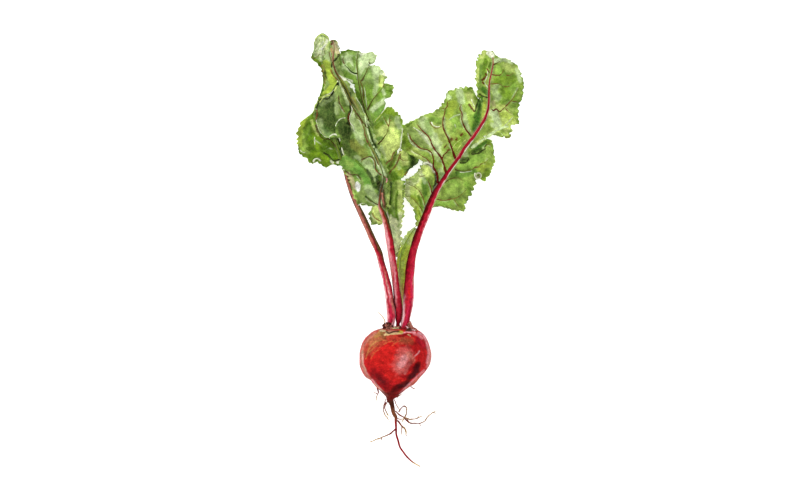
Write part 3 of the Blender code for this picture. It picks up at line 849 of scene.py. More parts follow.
TWIGS = [
    [(5.4, -66.6, 10.6, 0.5), (6.6, -70.4, 9.0, 0.5), (6.2, -74.6, 7.0, 0.4), (5.0, -78.0, 5.4, 0.25)],
    [(20.6, -61.2, 12.0, 0.4), (23.0, -57.6, 12.4, 0.25)],
    [(11.0, -61.8, 13.4, 0.5), (15.0, -65.2, 10.0, 0.4)],
    [(36.6, -55.4, 3.6, 0.4), (39.0, -57.0, 3.0, 0.25)],
    [(22.4, -65.6, 6.8, 0.5), (25.6, -68.8, 5.0, 0.25)],
    [(-12.8, -79.2, 3.5, 0.5), (-12.6, -82.6, 2.6, 0.3)],
    [(10.4, -76.4, 3.2, 0.4), (12.6, -79.0, 2.4, 0.2)],
    [(-17.0, -37.2, 30.6, 0.4), (-20.8, -35.2, 30.4, 0.25)],
    [(-8.6, -45.0, 26.8, 0.45), (-9.4, -52.0, 22.6, 0.4), (-6.6, -58.6, 17.8, 0.3)],
    [(1.4, -60.2, 16.6, 0.6), (4.6, -61.6, 15.4, 0.5), (8.8, -61.0, 15.0, 0.4)],
]


# sides of a root's rings, rings in a millimetre and the least number of them
HAIR_SIDES, HAIR_DENSITY, HAIR_LEAST = 10, 2.2, 14
# how far a root wanders and how much its radius changes, in mm and as a share
HAIR_WANDER, HAIR_SWELLING = 0.30, 0.22


def hair_root(name, points, seed):
    """A thin root with wander, swellings and a blunt pale tip."""
    points = np.array(points, dtype=float)
    length = travelled(points)[-1]
    at = np.linspace(0, 1, int(max(HAIR_LEAST, length * HAIR_DENSITY)))
    run = at * length
    path = smooth_row(points, at)
    for axis in range(3):
        path[:, axis] += HAIR_WANDER * ramp(at, 0.0, 0.15) * noise_along(run, 3.1, seed + 5 * axis)
    path[:, 2] = np.maximum(path[:, 2], path[:, 3] + 0.05)
    path[:, 3] *= 1 + HAIR_SWELLING * noise_along(run, 2.0, seed + 2)
    rings = rings_along(round_ends(path, 0.0, 1.2), HAIR_SIDES)
    share = np.clip(at + 0.15 * noise_along(run, 4.0, seed), 0, 1)[:, None]
    shades = tone("wine") * (1 - share) ** 2 + tone("rust") * 2 * share * (1 - share)
    shades = shades + tone("straw") * share**2
    return limb(name, rings, np.broadcast_to(shades[:, None], rings.shape), HAIR)


for number, points in enumerate(SIDE_ROOTS, start=1):
    settle(hair_root(f"side_root_{number}_hair", points, number), "root_hair", f"side_root_{number}")
for number, points in enumerate(TWIGS, start=1):
    settle(hair_root(f"root_twig_{number}", points, 40 + number), "root_hair")

# %% [markdown]
# ## Leaf stalks
# A beet stalk is ribbed like celery, grooved along its top, and coloured in bands round it: deep
# wine along one side, crimson in the middle, pink along the other, which are partly its own
# stripes and partly painted shade and painted highlight.  A ring profile that changes with the
# angle gives ribs and groove, and the colour is mixed by the angle too.
# The foot of each stalk spreads into the crown.

# %% Stalks
# x, y, height, radius from the crown to the leaf tip, as in the solids
STALKS = {"left": [
    (-3.9, 26.8, 35.5, 3.3), (-3.5, 36, 35.8, 4), (-4.6, 48.9, 36, 3.7), (-6.2, 60.8, 35.6, 3.8),
    (-8.8, 72.7, 34.8, 3.4), (-12.1, 84.6, 33.5, 3), (-15.3, 96.4, 31.8, 3.2), (-21, 108.3, 29.4, 2.9),
    (-26.2, 120.2, 26.8, 2.9), (-31.8, 132.1, 23.6, 2.7), (-37.2, 143.9, 20.2, 2.4),
    (-42, 155.8, 16.8, 2.3), (-46.4, 169.6, 13, 1.9), (-48.6, 177, 11.4, 1.3), (-53.2, 192, 9.2, 1),
    (-58.9, 211, 7.3, .9), (-62, 230, 6.3, .7), (-63.4, 249, 5.8, .6), (-65.6, 264, 5.6, .5),
    (-69, 279.3, 5.6, .4), (-69.2, 295, 5.8, .3), (-68.6, 304.4, 5.8, .3),
], "middle": [
    (2.8, 26.8, 31.5, 1.2), (3.2, 32.3, 31.8, 2.6), (3.5, 37, 32, 3.4), (3, 48.9, 32.4, 3.8),
    (1.5, 60.8, 33.2, 3.3), (0, 72.7, 34, 3.35), (-1.5, 84.6, 34.8, 3.2), (-3.4, 96.4, 35.4, 3.6),
    (-5.4, 108.3, 36, 3.4), (-7.4, 120.2, 36.4, 3), (-10.7, 132.1, 36.6, 2.6), (-14.4, 139.6, 36.6, 1.5),
    (-13.9, 151, 36.2, .8), (-11.2, 165, 35.6, .8), (-14.3, 178.6, 34.8, .8), (-20.9, 193.8, 33.4, .7),
    (-26.6, 207.1, 31.8, .6), (-30.4, 220.4, 30.2, .6), (-35.2, 230, 28.9, .6), (-41, 239.4, 27.6, 1),
    (-46, 250.8, 25.8, 1.4), (-50.6, 258.6, 24.4, 1.3), (-56.4, 267.9, 23.4, .7),
    (-58.6, 277.4, 22.6, .6), (-57.6, 290, 22, .5), (-58.6, 297.6, 22, .4),
], "inner": [
    (2.8, 26.8, 24, 2), (3, 48.9, 21.5, 2.2), (.2, 72.7, 20.5, 2.2), (-1.6, 87.4, 19.8, 2.2),
    (-4.8, 108.3, 19, 2.1), (-8.4, 124, 18.6, 2), (-11, 139, 18.6, 1.9), (-12, 150, 18.8, 1.8),
    (-12.6, 162, 19, 1.7), (-14.3, 178.6, 19, 1.5), (-19, 201.4, 18.6, 1.3), (-24.7, 220.4, 18, 1.1),
    (-30.4, 239.4, 17.4, .9), (-33.7, 255.6, 16.8, .8), (-35.6, 268, 15.8, .7), (-35.9, 280, 14.4, .5),
    (-34.4, 287.6, 14, .4),
], "right": [
    (9.6, 26.6, 36.5, 3.9), (10.2, 32, 36.8, 3.7), (11, 37.4, 37, 3.8), (12.5, 48.9, 37, 4.8),
    (13.2, 60.8, 37, 4.8), (13.6, 72.7, 36.6, 4.35), (14.8, 84.6, 35.8, 4.1), (16.7, 96.4, 34.7, 3.7),
    (20, 108.3, 33, 3.6), (24.4, 120.2, 31.4, 3.5), (29.4, 132.6, 29.8, 3.3), (34.7, 145.9, 28.4, 3),
    (41.3, 158.7, 26.8, 2.3), (49.6, 171.4, 24.8, 1.9), (58.8, 184.1, 22.8, 1.8),
    (65.6, 194.3, 21.2, 1.8), (74.1, 206.2, 19.2, 1.8), (83.1, 219.5, 17.4, 1.6), (87.3, 229, 16.6, 1.3),
    (88.9, 238.5, 16, 1), (88.9, 247.9, 15.4, .9), (89.3, 257.5, 14.8, .7), (91.4, 266.8, 13.8, .6),
    (92.9, 276.2, 12.8, .5), (92.2, 284, 12.2, .4), (91.6, 287.4, 12, .3),
], "young": [
    (6.6, 27.2, 27.5, 1.3), (6.6, 38, 27, 1.2), (6.4, 51.3, 26.5, 1), (4.9, 68.4, 26, .9),
    (4.6, 83.6, 25.7, .8), (6.8, 98.8, 25.6, .7), (12, 110.2, 25.2, .6), (19.4, 119.5, 24.2, .5),
]}

# Colours across a stalk, from its left side over the top to its right side, at places along
# its height above the crown: y, then five palette names.  The darkest and palest names at the
# sides are partly the stalk's own stripes and partly painted shade and painted highlight.
STALK_BANDS = {"left": [
    (26, "magenta", "magenta", "claret", "petal", "petal"),
    (36, "blush", "magenta", "crimson", "magenta", "petal"),
    (46, "blush", "crimson", "magenta", "rose", "wine"),
    (58, "petal", "crimson", "blush", "crimson", "wine"),
    (72, "blush", "magenta", "rose", "crimson", "wine"),
    (85, "blush", "crimson", "crimson", "wine", "bark"), (98, "rose", "crimson", "wine", "bark", "bark"),
    (115, "rose", "rose", "wine", "bark", "hide"), (150, "hide", "rose", "rose", "bark", "hide"),
    (172, "hide", "rose", "rust", "hide", "hide"), (182, "moss", "olive", "moss", "leaf", "moss"),
    (262, "sage", "olive", "sage", "olive", "sage"), (285, "mint", "sage", "mint", "sage", "mint"),
], "middle": [
    (26, "wine", "claret", "claret", "wine", "plum"),
    (44, "plum", "crimson", "crimson", "claret", "wine"),
    (58, "wine", "blush", "crimson", "crimson", "claret"),
    (72, "rose", "crimson", "blush", "crimson", "claret"),
    (98, "blush", "blush", "crimson", "crimson", "wine"),
    (112, "blush", "blush", "crimson", "garnet", "pine"),
    (126, "blush", "rose", "garnet", "bark", "pine"), (137, "blush", "rose", "garnet", "bark", "pine"),
    (146, "hide", "rust", "rust", "hide", "soot"), (160, "pine", "hide", "bark", "pine", "soot"),
    (172, "mint", "sage", "heath", "pine", "pine"), (185, "heath", "rust", "olive", "heath", "heath"),
    (228, "heath", "heath", "dusk", "heath", "heath"), (238, "soot", "pine", "bark", "bark", "dusk"),
    (258, "soot", "bark", "moss", "olive", "olive"), (266, "soot", "bark", "bark", "bark", "rust"),
    (275, "rose", "rust", "maroon", "rust", "rose"), (300, "sage", "rose", "sage", "rose", "sage"),
], "inner": [
    (26, "wine", "wine", "crimson", "wine", "wine"), (120, "wine", "rose", "rust", "wine", "wine"),
    (140, "plum", "rust", "rose", "rose", "maroon"), (158, "soot", "bark", "rust", "bark", "soot"),
    (170, "pine", "soot", "pine", "soot", "pine"), (185, "heath", "bark", "bark", "fresh", "heath"),
    (290, "heath", "bark", "bark", "fresh", "heath"),
], "right": [
    (26, "petal", "magenta", "magenta", "claret", "claret"),
    (40, "petal", "crimson", "magenta", "claret", "blush"),
    (58, "wine", "crimson", "scarlet", "magenta", "blush"),
    (72, "maroon", "claret", "crimson", "magenta", "rose"),
    (98, "plum", "claret", "crimson", "crimson", "claret"),
    (115, "plum", "maroon", "crimson", "crimson", "blush"),
    (140, "plum", "maroon", "crimson", "crimson", "blush"),
    (162, "plum", "wine", "claret", "crimson", "petal"),
    (172, "maroon", "claret", "claret", "claret", "cream"),
    (186, "rose", "claret", "claret", "claret", "cream"),
    (210, "rose", "claret", "crimson", "claret", "cream"),
    (232, "rose", "claret", "wine", "claret", "petal"),
    (260, "wine", "crimson", "wine", "crimson", "rose"), (290, "tan", "rose", "rust", "rose", "tan"),
], "young": [
    (26, "blush", "blush", "tan", "lime", "cream"), (60, "cream", "pale", "tan", "pale", "pale"),
    (90, "pale", "sage", "moss", "lime", "pale"), (120, "pale", "lime", "moss", "lime", "pale"),
]}
STALK_SIDES = 40
# shares of the radius: ribs and how many there are, the groove and its width as an angle, lumps
RIB_HEIGHT, RIB_COUNT, GROOVE_DEPTH, GROOVE_WIDTH, LUMPS = 0.035, 9, 0.13, 0.42, 0.05
# layers of noise by which a stalk's bands waver, and what keeps an index inside its table
BAND_WAVER, INSIDE = ((0.45, 7.0, 3), (0.35, 2.5, 4)), 1.001
# what the foot of a stalk adds to its first point: x, y, height, radius
FOOT = (0.0, -3.0, 0.0, 0.6)


def stalk_colours(leaf, path, angle):
    """Mix a stalk's bands by height and by how far round from the left side a point is."""
    bands = STALK_BANDS[leaf]
    heights = [band[0] for band in bands]
    table = np.array([[tone(name) for name in band[1:]] for band in bands])
    across = np.clip((1 + np.cos(angle)) / 2, 0, 1) * (table.shape[1] - 1)
    waver = layered(path[:, 1:2], *BAND_WAVER)[:, None]
    across = np.clip(across[None] + waver, 0, table.shape[1] - INSIDE)
    low = np.floor(across).astype(int)
    share = ramp(across - low, 0.15, 0.85)[..., None]
    row = np.clip(np.interp(path[:, 1], heights, np.arange(len(heights))), 0, len(heights) - INSIDE)
    start = np.floor(row).astype(int)[:, None]
    blend = (row - np.floor(row))[:, None, None]
    below, above = (table[which, low] * (1 - share) + table[which, low + 1] * share
                    for which in (start, start + 1))
    return below * (1 - blend) + above * blend


def stalk(leaf):
    """A ribbed stalk that runs on as the midrib of its blade."""
    points = np.array(STALKS[leaf], dtype=float)
    points = np.concatenate([[points[0] + FOOT], points])
    length = travelled(points)[-1]
    path = smooth_row(points, np.linspace(0, 1, int(length * 1.1)))
    run = running(path) * length
    path[:, 0] += 0.25 * noise_along(run, 17.0, 21) * ramp(run, 5, 30)
    path = round_ends(path, 0.0, 3.0)
    angle = ring_angles(STALK_SIDES)
    ribs = RIB_HEIGHT * np.cos(RIB_COUNT * angle[None] + 0.8 * noise_along(run, 25.0, 22)[:, None])
    groove = GROOVE_DEPTH * bell(angle, math.pi / 2, GROOVE_WIDTH)[None]
    groove = groove * ramp(path[:, 3], 0.8, 2.2)[:, None]
    lumps = LUMPS * noise_along(run, 6.0, 23)[:, None]
    rings = rings_along(path, STALK_SIDES, swell=1 + ribs - groove + lumps)
    shades = stalk_colours(leaf, path, angle)
    piece = limb(f"{leaf}_leaf_stalk", rings, shades, STALK, along=length / 10)
    slot = "young_stalk" if leaf == "young" else "crimson_stalk"
    settle(piece, slot, f"{leaf}_stalk")


for leaf in STALKS:
    stalk(leaf)

# %% [markdown]
# ## Leaf blades
# A beet blade is a thin sheet, narrow at its foot and broad above, cushioned between its
# veins, with a wavy, notched margin.  Draping a flat cloth wouldn't give the cushions or the
# waves, because a leaf grows them.  So the blade is built as it grows: ribs leave the midrib
# slanting forward, bend outwards, and end on a margin.  Each margin is a few chosen points,
# and between them a formula adds the small notches.  Height comes from four things: the
# rise or fall from midrib to margin, waves that grow towards the margin, cushions between the
# veins, and a fine unevenness.

# %% Margins of the blades
# where each blade starts on its stalk (y), and its margins: station along the midrib from
# foot (0) to tip (1), x, y, height
BLADE_FROM = {"left": 172.0, "middle": 127.0, "inner": 97.0, "right": 121.0, "young": 46.0}
MARGINS = {"left": ([
    (0, -48, 175, 10), (.03, -49, 180, 8), (.06, -54, 178.5, 6), (.1, -59, 180.5, 3),
    (.14, -66, 176.5, 2), (.18, -73, 182.5, 1.6), (.22, -79, 181, 1.3), (.26, -85, 187, 1.2),
    (.3, -91, 191, 1), (.35, -92, 200, 1), (.4, -93, 211, 1.2), (.45, -88.5, 221, 1.5),
    (.5, -80, 222, 1.8), (.55, -78, 229, 2), (.6, -74, 237, 2.2), (.68, -67, 249, 2.4),
    (.75, -66, 260, 2.6), (.8, -68, 269, 2.8), (.85, -75, 277, 3), (.88, -80, 281, 3), (.91, -77, 289, 3),
    (.95, -77, 296, 3), (.98, -74, 302, 3.5), (1, -71, 304, 4),
], [
    (0, -45, 173, 10), (.1, -41, 180, 7), (.3, -41, 203, 3.5), (.5, -48, 232, 2.6), (.65, -54, 251, 2.6),
    (.8, -61, 268, 2.8), (.88, -61, 281, 2.8), (.94, -62, 294, 3), (.98, -63, 301, 4), (1, -66, 303.5, 4),
]), "middle": ([
    (0, -12, 123, 33), (.03, -22, 123, 28), (.06, -25, 133, 27.5), (.09, -21, 140, 27),
    (.12, -31, 141.5, 25.5), (.16, -36, 143.5, 23.5), (.19, -39.5, 153, 22.5), (.22, -43, 166, 21.5),
    (.26, -50, 175, 18.5), (.3, -52, 182, 16.5), (.34, -48, 189, 15.5), (.38, -50, 198, 14),
    (.42, -54, 206, 13), (.46, -64, 205, 11), (.5, -72, 213, 9.5), (.55, -77, 225, 9), (.6, -77, 233, 9),
    (.65, -74, 239, 9.5), (.7, -70, 245, 10.5), (.78, -66, 256, 12), (.86, -70, 272, 14),
    (.93, -66, 285, 16), (1, -62, 296, 18),
], [
    (0, -8, 130, 33), (.1, -8, 146, 33), (.2, -6, 163, 32.5), (.28, -6, 173, 32), (.35, -11, 184, 31),
    (.42, -16, 198, 30), (.5, -21, 211, 28.5), (.58, -27, 224, 26.5), (.66, -33, 238, 24.5),
    (.74, -40, 251, 22.5), (.82, -46, 261, 21.5), (.88, -52, 270, 20.5), (.93, -53, 279, 20.2),
    (.97, -52, 289, 20), (1, -55, 297, 20),
]), "inner": ([
    (0, -4, 93, 17), (.2, -13, 142, 16), (.4, -21, 180, 16), (.6, -31, 211, 15.5), (.75, -38, 234, 15),
    (.8, -38.5, 245, 15), (.84, -37.5, 255, 14.5), (.86, -43, 258, 14), (.88, -51, 265, 13),
    (.9, -59, 273, 12), (.93, -55, 280, 11.6), (.96, -51, 287, 11.5), (.98, -44, 289, 11.5),
    (1, -36, 287, 12),
], [
    (0, 1, 92, 17), (.04, 6, 105, 16), (.08, 5, 116, 15.5), (.12, 6, 125, 15), (.16, 9, 133, 14),
    (.2, 7, 142, 13.5), (.24, 8, 151, 13), (.28, 8, 159, 12.5), (.3, 9.5, 163, 12), (.32, 5, 166, 12),
    (.345, 9, 169, 8), (.365, 13, 175, 6), (.38, 20, 180, 5), (.39, 23, 185, 5), (.405, 12, 199, 5.5),
    (.43, 1, 187, 10), (.45, 3, 194, 15), (.48, 7, 203, 16.5), (.51, 9, 216, 16.5), (.55, 4, 228, 16.5),
    (.59, -4, 234, 16), (.62, -9, 233, 15.5), (.64, -14, 225, 15.5), (.67, -9, 237, 15.2),
    (.69, -10, 242, 15), (.72, -5, 243.5, 14.8), (.75, -1.5, 249, 14.4), (.78, -2, 255, 14),
    (.81, -11, 257, 14), (.835, -8, 262, 14), (.86, -12, 269, 14.2), (.89, -19, 274, 14.5),
    (.91, -26, 273, 14), (.93, -19, 277, 13), (.95, -17, 283, 12.5), (.97, -23, 286.5, 12.5),
    (.99, -29, 285, 12.5), (1, -33, 285, 12.5),
]), "right": ([
    (0, 20, 121, 26), (.05, 19.5, 131, 14), (.09, 17, 139, 8), (.105, 12, 145, 6), (.12, 8, 151, 4),
    (.14, 8, 158, 3), (.16, 11, 165.5, 3), (.2, 18, 169.5, 5), (.22, 24, 175.5, 7), (.24, 25.5, 181, 9),
    (.26, 28, 182, 12), (.275, 23, 184.5, 12), (.29, 18, 187, 11), (.32, 5, 195, 9), (.34, 3, 203, 10),
    (.36, 3, 211, 11), (.38, 7, 216, 10), (.4, 14, 219.5, 9), (.44, 25, 226, 5), (.48, 37, 230, 1),
    (.53, 46, 237, 3), (.58, 49, 248, 1), (.63, 61, 253, 2), (.68, 73, 253.5, 4), (.705, 76, 245, 8),
    (.73, 83, 239, 12), (.755, 79, 244, 10), (.79, 77, 256, 8), (.86, 77, 272, 6), (.93, 79, 283, 4),
    (.97, 85, 288, 5), (1, 91, 287, 6),
], [
    (0, 26, 122, 25), (.05, 30.5, 131.5, 14), (.08, 34, 139, 9), (.1, 40, 141, 7), (.14, 49, 138.5, 2),
    (.19, 60, 135.5, 1), (.215, 66, 136.5, 1), (.235, 66, 143, 3), (.29, 71, 150, 1), (.325, 75, 159, 2),
    (.34, 77, 166, 3), (.355, 80, 167, 2), (.37, 84, 164, 1), (.41, 91.5, 174, 2), (.45, 95, 183.5, 1.5),
    (.49, 93, 198, 4), (.52, 90, 203.5, 7), (.555, 84, 206.5, 11), (.575, 93, 208.5, 7),
    (.59, 100, 206, 5), (.61, 107, 206, 4), (.625, 111.5, 212, 3), (.65, 109, 217, 2),
    (.68, 118, 218.5, 1), (.7, 116, 226, 1), (.73, 118, 236, 2), (.78, 122, 249, 1), (.84, 121, 262, 2),
    (.88, 118, 270, 3), (.9, 114.5, 275.5, 4), (.95, 105, 281, 5), (.985, 98, 279.5, 8), (1, 94, 281, 10),
]), "young": ([
    (0, 6, 47, 24.8), (.2, 4, 61, 24.4), (.4, 1, 75, 24.2), (.55, 0, 86, 24.2), (.68, 4, 97, 24.2),
    (.8, 7, 108, 24), (.9, 12, 116, 23.6), (1, 20, 122, 23),
], [
    (0, 7.5, 47, 24.8), (.2, 10, 61, 24.2), (.4, 11, 78, 24), (.55, 13, 91, 24), (.7, 17, 103, 23.8),
    (.85, 22, 111, 23.4), (1, 23, 120.5, 23),
])}
